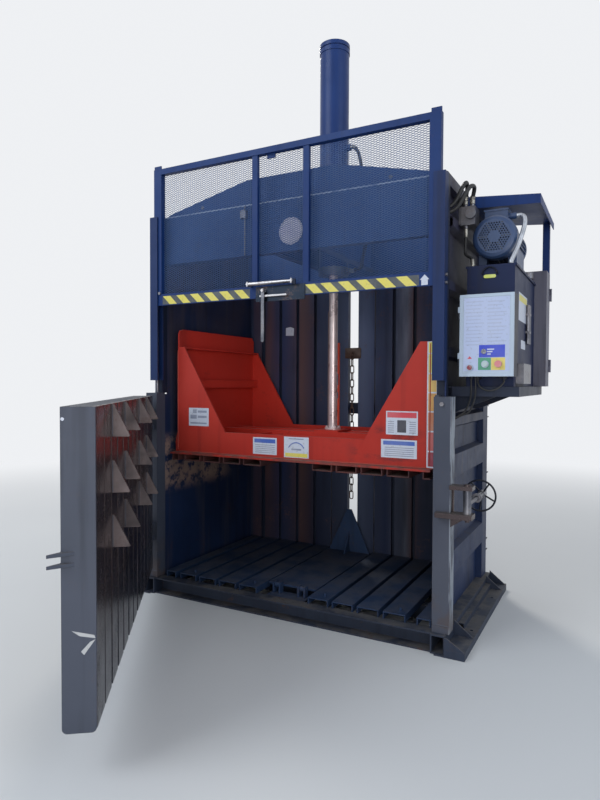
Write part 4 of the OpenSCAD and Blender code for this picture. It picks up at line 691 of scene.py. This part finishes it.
# Platen: orange-red plates welded to a base, dull where the waste rubs and painted a brighter red
# further in, as painted light on its inner faces, brown pressing channels below and a brighter
# stroke bar behind the ram. Blank labels and a strip of coloured fields sit on its front faces.
def red_sheen_and_marks(f, colour):
    """A brighter red further in, painted light for the inner faces, a brown worn lower edge and greasy
    smudges beside the labels.
    """
    # Painted light: the red grows brighter further in, for the light on the platen's inner faces.
    deep = (f.axis("Y") + 0.40).over(0.0, 0.15)
    colour = f.mix(deep * 0.6, colour, tone(214, 58, 44))
    low = (0.928 - f.axis("Z")).over(0.0, 0.012) * f.noise(14, 4.0).over(0.35, 0.6)
    colour = f.mix(low * 0.75, colour, tone(92, 62, 58))
    x, z = f.axis("X"), f.axis("Z")
    grease = (x.over(0.34, 0.44) * (0.86 - x).over(0.0, 0.12) * (1.16 - z).over(0.0, 0.05)
              * f.noise(7, 5.0, stretch=(0.7, 1, 1.6), rough=0.7).over(0.46, 0.62))
    return f.mix(grease * 0.55, colour, tone(66, 40, 44))


orange = wear("platen_paint", tone(160, 44, 36), tone(176, 55, 44), tone(78, 40, 40), dust=0.75, rusting=0.25,
              streaks=0.2, extra=red_sheen_and_marks)
dress(orange, "platen_base", "platen_rails", "wing_left", "wing_right")


def sensor_marks(f, colour):
    """The thin sensor rod to the left of the stroke bar is bare grey-brown steel."""
    return f.mix((-0.09 - f.axis("X")).over(0.0, 0.002), colour, tone(112, 100, 102))


stroke = wear("stroke_paint", tone(206, 72, 50), tone(222, 88, 62), tone(96, 44, 40), dust=0.3, rusting=0.15,
              streaks=0.15, extra=sensor_marks)
dress(stroke, "indicator_bars")
press = wear("press_face", tone(62, 40, 42), tone(96, 54, 50), tone(48, 34, 32), rusting=0.8, streaks=0.6)
dress(press, "platen_channels")
platen_bead = wear("platen_bead", tone(150, 62, 52), tone(176, 84, 70), tone(90, 50, 44), rusting=0.3)
apron_y = 142
beads = []
for s in (-1, 1):
    for y in (apron_y, 1057):
        beads.append([(s * 394.5, y, 921), (s * 842, y, 921)])
        beads.append([(s * 855, y, 930), (s * 855, y, 1590)])
    beads.append([(s * 841, 156, 920), (s * 841, 1043, 920)])
beads.append([(-394, apron_y, 920), (394, apron_y, 920)])
piece("platen_welds", gather([seam(route(p)) for p in beads]), platen_bead, "platen")


def label(name, x0, x1, z0, z1, fields):
    """A white label on the platen's front with coloured fields on it, which are given as
    fractions of its width and height."""
    piece(name, front(box_of(x0, x1, z0, z1), apron_y), film, "platen", smooth=False)
    w, h = x1 - x0, z1 - z0
    for number, (a, b, c, d, ink) in enumerate(fields):
        field = box_of(x0 + a * w, x0 + b * w, z0 + c * h, z0 + d * h)
        piece(f"{name}_field_{number}", front(field, apron_y - 0.6, 0.3), ink, "platen", smooth=False)


print_rows = [(0.1, 0.92, 0.1 + 0.11 * k, 0.14 + 0.11 * k, grey_ink) for k in range(5)]
label("label_left", -764, -603, 1092, 1210,
      [(0.08, 0.9, 0.12, 0.2, grey_ink), (0.08, 0.4, 0.4, 0.62, grey_ink), (0.45, 0.9, 0.45, 0.58, grey_ink),
       (0.2, 0.4, 0.7, 0.92, grey_ink), (0.45, 0.9, 0.74, 0.86, grey_ink)])
label("label_blue", -263, -92, 935, 1039, print_rows + [(0.06, 0.94, 0.68, 0.92, blue_ink)])
label("label_arc", -41, 127, 927, 1052,
      [(0.05, 0.95, 0.04, 0.22, yellow_ink), (0.3, 0.7, 0.36, 0.44, grey_ink),
       (0.2, 0.8, 0.88, 0.93, grey_ink)])
bow = np.linspace(0.15 * math.pi, 0.85 * math.pi, 24)
arc = route(np.stack([43 + 58 * np.cos(bow), np.full(24, apron_y - 1.0), 960 + 58 * np.sin(bow)], 1))
piece("label_arc_line", sweep(arc, 0.0028, 8), blue_ink, "platen")
columns = [(a, a + 0.2, 0.08 + 0.09 * k, 0.12 + 0.09 * k, grey_ink) for k in range(6) for a in (0.06, 0.74)]
label("label_red", 608, 789, 1093, 1223,
      columns + [(0.04, 0.96, 0.72, 0.95, red_ink), (0.36, 0.64, 0.1, 0.62, black_ink)])
label("label_low", 580, 785, 965, 1066, print_rows + [(0.06, 0.94, 0.7, 0.92, blue_ink)])
tints = [(205, 198, 92), (198, 190, 98), (200, 164, 88), (196, 146, 80), (178, 110, 78), (176, 74, 72),
         (136, 34, 58)]
steps = [1598, 1534, 1427, 1325, 1223, 1117, 1010, 925]
piece("strip_back", front(box_of(838, 891, 922, 1599), apron_y, 0.4), film, "platen", smooth=False)
for number, (tint, high, low) in enumerate(zip(tints, steps, steps[1:])):
    piece(f"strip_field_{number}", front(box_of(845, 889, low + 5, high - 3), apron_y - 0.4, 0.3),
          vinyl(f"strip_{number}", tone(*tint), fade=0.1), "platen", smooth=False)


# Bale door, standing open: grey-blue frame, an inner face worn brown by sliding bales and
# streaked grey-blue low down, brown-grey steel teeth, and tape marks on its free end. The
# latch's bracket on the right post is as worn as the inner face.
def slide_marks(f, colour):
    low = (0.62 - f.axis("Z")).over(0.0, 0.3)
    colour = f.mix(low * 0.7, colour, tone(54, 58, 70))
    streak = f.noise(16, 3.0, stretch=(1, 1, 0.06)).over(0.52, 0.7)
    return f.mix(streak * 0.4, colour, tone(98, 92, 96))


frame_grey = wear("door_paint", tone(60, 66, 78), tone(73, 78, 91), tone(96, 80, 70), rusting=0.12,
                  streaks=0.3)
dress(frame_grey, "door_frame")
inner = wear("door_inner", tone(62, 53, 55), tone(80, 69, 70), tone(52, 38, 36), rusting=0.6, streaks=0.5,
             rough=0.24, depth=0.0002, extra=slide_marks, gloss=0.5, metal=0.55)
dress(inner, "door_bars", "latch_bracket")
tooth = bare_steel("tooth_steel", tone(66, 60, 62), tone(104, 94, 95), tone(80, 58, 50), metal=0.6,
                   rusting=0.5)
dress(tooth, "retainer_teeth")


def turned(points):
    """Points drawn with the door shut, turned with it about its hinge pins to stand open."""
    pin = np.array([-0.958, -0.592, 0])
    c, s = math.cos(math.radians(54)), math.sin(math.radians(54))
    spin = np.array([[c, s, 0], [-s, c, 0], [0, 0, 1]])
    return (points - pin) @ spin.T + pin


def on_end(outline, thick=0.4):
    """A plate on the door's free end; the outline is given in depth and height."""
    points, faces = plate(outline, (930, -anchor_y, 0), thick, across=(0, 1, 0))
    return turned(points), faces


tape = [[(-87, 522), (-60, 503), (-8, 494), (-12, 505)], [(-8, 490), (-26, 482), (-56, 449), (-46, 437)]]
tape_white = vinyl("tape_white", tone(170, 172, 174), fade=0.2)
piece("tape_mark", gather([on_end(t) for t in tape]), tape_white, "door", smooth=False)
piece("door_spot", on_end(ring_of(-113, 1248, 6, 20)), film, "door", smooth=False)
rail_seams = [[(918, -121, 176 + k * 341.7), (858, -121, 176 + k * 341.7)] for k in range(4)]
tooth_seams = [[(x + dx, -5, z + 2), (x + dx, -5, z + 128)] for x in (-585, -250, 250, 585)
               for z in (717, 935, 1158) for dx in (-5, 5)]
welded = gather([seam(turned(route(p)), 0.0025, 0.008) for p in rail_seams + tooth_seams])
piece("door_welds", welded, bead, "door")

# Handwheel of the latch, control box and the motor's fan: black enamel.
black = wear("black_enamel", tone(26, 29, 38), tone(38, 42, 52), tone(70, 52, 44), rusting=0.1, streaks=0.2)
dress(black, "handwheel", "control_box", "motor_fan")


# Lift chain: welded links of 8 mm round wire on a peg and plate at the rear wall, rusty all
# over, with a torn scrap of a label on the wall to its left.
def link(z, turn):
    """A stadium-shaped link: two half circles of radius 13 mm joined by 34 mm straights."""
    a = np.linspace(0, math.pi, 9)
    side = np.concatenate([13 * np.cos(a), -13 * np.cos(a)])
    rise = np.concatenate([17 + 13 * np.sin(a), -17 - 13 * np.sin(a)])
    still = np.zeros_like(side)
    across, deep = (side, still) if turn else (still, side)
    return hoop(route(np.stack([across, 1081 + deep, z + rise], 1)), 0.0039)


rusty = bare_steel("chain_rust", tone(74, 62, 58), tone(104, 88, 80), tone(96, 62, 46), rough=0.6, metal=0.5,
                   rusting=0.8)
hook_z, pitch = 1600, 51.5
hook = route([(0, 1068, hook_z), (0, 1099, hook_z)])
hung = [link(hook_z - 19 - pitch * k, (k + 1) % 2) for k in range(21)]
hung.append(sweep(part_of(hook, 0, 0.031, 6), 0.007, 16))
hung.append(plate(box_of(-62, 62, 1560, 1636), (0, 1100 - anchor_y, 0), 8, soften=1.0))
chain = piece("lift_chain", gather(hung), rusty)
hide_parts("ejector_chain")
torn = [(-572, 1746), (-503, 1744), (-500, 1800), (-530, 1812), (-571, 1806)]
piece("torn_label", front(torn, 1100, 0.5), film, smooth=False)

# Power unit on the right: tank in dark navy, motor and its domed cover in grey-blue, pump and
# valves. The oil gauge is a bright yellow-green glass under a hood, the cover's ribs have more
# vent holes, drawn as dark discs of painted shade, and two blank labels sit on the tank's outer side.
tank = wear("tank_paint", tone(4, 20, 56), tone(10, 28, 64), tone(70, 60, 56), rusting=0.1, streaks=0.35)
dress(tank, "oil_tank")
motor_grey = wear("motor_paint", tone(38, 58, 96), tone(50, 72, 108), tone(90, 80, 76), rusting=0.05,
                  streaks=0.25, dust=0.25, rough=0.36, gloss=0.5)
dress(motor_grey, "motor", "fan_cover")
motor_x, motor_z, vent_pitch = 1146.5, 2157, 13.5
# Dark discs on the cover stand for its vent holes: painted shade, the dark seen through them.
vents = []
for turn in range(6):
    c, s = math.cos(turn * math.pi / 3), math.sin(turn * math.pi / 3)
    for step in range(3, 7):
        d = step * vent_pitch
        vents.append(front(ring_of(motor_x + d * c, motor_z + d * s, 4.2, 14), 295, 0.2))
piece("vent_holes", gather(vents), vinyl("vent_painted_shade", tone(16, 18, 26), fade=0.0), smooth=False)
dress(steel, "valve_block")


def hood_marks(f, colour):
    """The hood over the oil gauge, nearest the front, is black; the other fittings are bare."""
    return f.mix((-0.350 - f.axis("Y")).over(-0.002, 0.002), colour, tone(22, 26, 36))


fitting = bare_steel("fitting_steel", tone(84, 86, 94), tone(128, 129, 136), tone(96, 70, 54),
                     extra=hood_marks)
dress(fitting, "tank_fittings")


def on_tank(y0, y1, z0, z1, out, thick):
    """A rectangle on the tank's outer side, out millimetres from it, given in depth and height."""
    return plate(box_of(y0, y1, z0, z1), (1270.5 + out, -anchor_y, 0), thick, across=(0, 1, 0))


piece("tank_label_high", on_tank(335, 640, 1713, 1862, 0, 0.4), film, smooth=False)
piece("tank_label_high_head", on_tank(347, 628, 1818, 1852, 0.4, 0.3), yellow_ink, smooth=False)
piece("tank_label_low", on_tank(429, 584, 1566, 1613, 0, 0.4), film, smooth=False)
glass = vinyl("gauge_glass", tone(200, 208, 96), fade=0.3, rough=0.25)
right_end, left_end = ring_of(1168.5, 1930, 9, 24), ring_of(1124.5, 1930, 9, 24)
gauge = np.vstack([right_end[:7], left_end[6:19], right_end[18:]])
piece("oil_gauge", front(gauge, 197, 1.5), glass, smooth=False)

# Control box: a light grey door with a white printed sheet in its recess, and a blue, a green
# and a yellow field round the controls. The lines of print are bare grey bars.
shell = wear("box_grey", tone(164, 178, 194), tone(176, 190, 206), tone(120, 110, 100), rusting=0.0,
             dust=0.15, streaks=0.1)
dress(shell, "control_door")
sheet_white = vinyl("panel_white", tone(166, 178, 208), fade=0.1)


def holed(x0, x1, z0, z1, centre, radius, y, thick):
    """A plate with a round hole: at angle s the ring's inner edge is centre + radius (cos s,
    sin s) and its outer edge lies where that ray meets the rectangle's outline."""
    count = 96
    s = np.linspace(0, 2 * math.pi, count, endpoint=False)
    ray = np.stack([np.cos(s), np.sin(s)], 1)
    room = np.where(ray > 0, np.array([x1, z1]) - centre, centre - np.array([x0, z0]))
    outer = centre + ray * (room / np.maximum(np.abs(ray), 1e-9)).min(1)[:, None]
    for corner in np.array(box_of(x0, x1, z0, z1), float):
        outer[np.argmin(np.linalg.norm(outer - corner, axis=1))] = corner
    inner = centre + radius * ray
    rings = [np.column_stack([flat[:, 0], np.full(count, depth), flat[:, 1]])
             for flat, depth in ((inner, y), (inner, y - thick), (outer, y - thick), (outer, y))]
    return route(np.vstack(rings)), [f[::-1] for f in weave(4, count, loop=True)]


reset_at, start_at = np.array([1075.5, 1456.0]), np.array([1150.5, 1473.0])
stop_at = np.array([1215.5, 1473.0])
recess, on_sheet, on_field, hole = 81.5, 81.1, 80.8, 17.4
sheet = [front(box_of(1043, 1266, 1506, 1808), recess, 0.4)]
for x0, x1, at, radius in ((1043, 1110, reset_at, hole - 1), (1110, 1184, start_at, hole),
                           (1184, 1266, stop_at, hole)):
    sheet.append(holed(x0, x1, 1438, 1506, at, radius, recess, 0.4))
piece("panel_sheet", gather(sheet), sheet_white, "control_door", smooth=False)
rows = []
for k in range(13):
    z = 1790 - k * 18
    rows.append(front(box_of(1054, 1140 - 7 * (k % 3), z - 6, z), on_sheet, 0.2))
    rows.append(front(box_of(1160, 1252 - 9 * ((k + 1) % 4), z - 8, z - 2), on_sheet, 0.2))
panel_ink = vinyl("panel_ink", tone(156, 166, 194), fade=0.1)
piece("panel_lines", gather(rows), panel_ink, "control_door", smooth=False)
blue = front(box_of(1120, 1246, 1507, 1569), on_sheet, 0.3)
green = holed(1116, 1179, 1443, 1505, start_at, hole, on_sheet, 0.3)
yellow = holed(1180, 1247, 1443, 1505, stop_at, hole, on_sheet, 0.3)
for name, shape, tint in (("field_blue", blue, (34, 58, 180)), ("field_green", green, (62, 138, 108)),
                          ("field_yellow", yellow, (206, 190, 96))):
    piece(name, shape, vinyl(name + "_film", tone(*tint), fade=0.08), "control_door", smooth=False)
mark = front([(1062, 1500), (1086, 1500), (1074, 1514)], on_sheet, 0.3)
piece("field_mark", mark, red_ink, "control_door", smooth=False)
blue_bars = [front(box_of(1160, 1178 + 8 * k, 1520 + 12 * k, 1526 + 12 * k), on_field, 0.2) for k in range(3)]
piece("blue_bars", gather(blue_bars), film, "control_door", smooth=False)
knob_steel = bare_steel("knob_chrome", tone(90, 94, 104), tone(176, 180, 190), tone(110, 100, 96), rough=0.25)
knob = [front(ring_of(1144, 1536, 13), on_field, 5), front(box_of(1141, 1147, 1525, 1547), on_field - 5, 6)]
piece("selector_knob", gather(knob), knob_steel, "control_door", smooth=False)
for name, colour in (("start_button", tone(170, 188, 190)), ("stop_button", tone(196, 120, 124)),
                     ("reset_button", tone(120, 24, 44))):
    f = Finish(name + "_plastic", Coat_Weight=0.3)
    scuff = f.noise(60, 4.0)
    worn = f.mix(scuff.over(0.45, 0.7) * 0.5, colour, tone(170, 160, 160))
    f.put(worn, scuff * 0.25 + 0.25, height=scuff, depth=0.0002)
    dress(f.material, name)

# Starter cabinet behind the tank: a brown-grey box with a door at the rear.
cabinet = wear("cabinet_paint", tone(84, 84, 98), tone(98, 98, 112), tone(80, 62, 54), rusting=0.2,
               streaks=0.4)
dress(cabinet, "starter_cabinet", "cabinet_door")
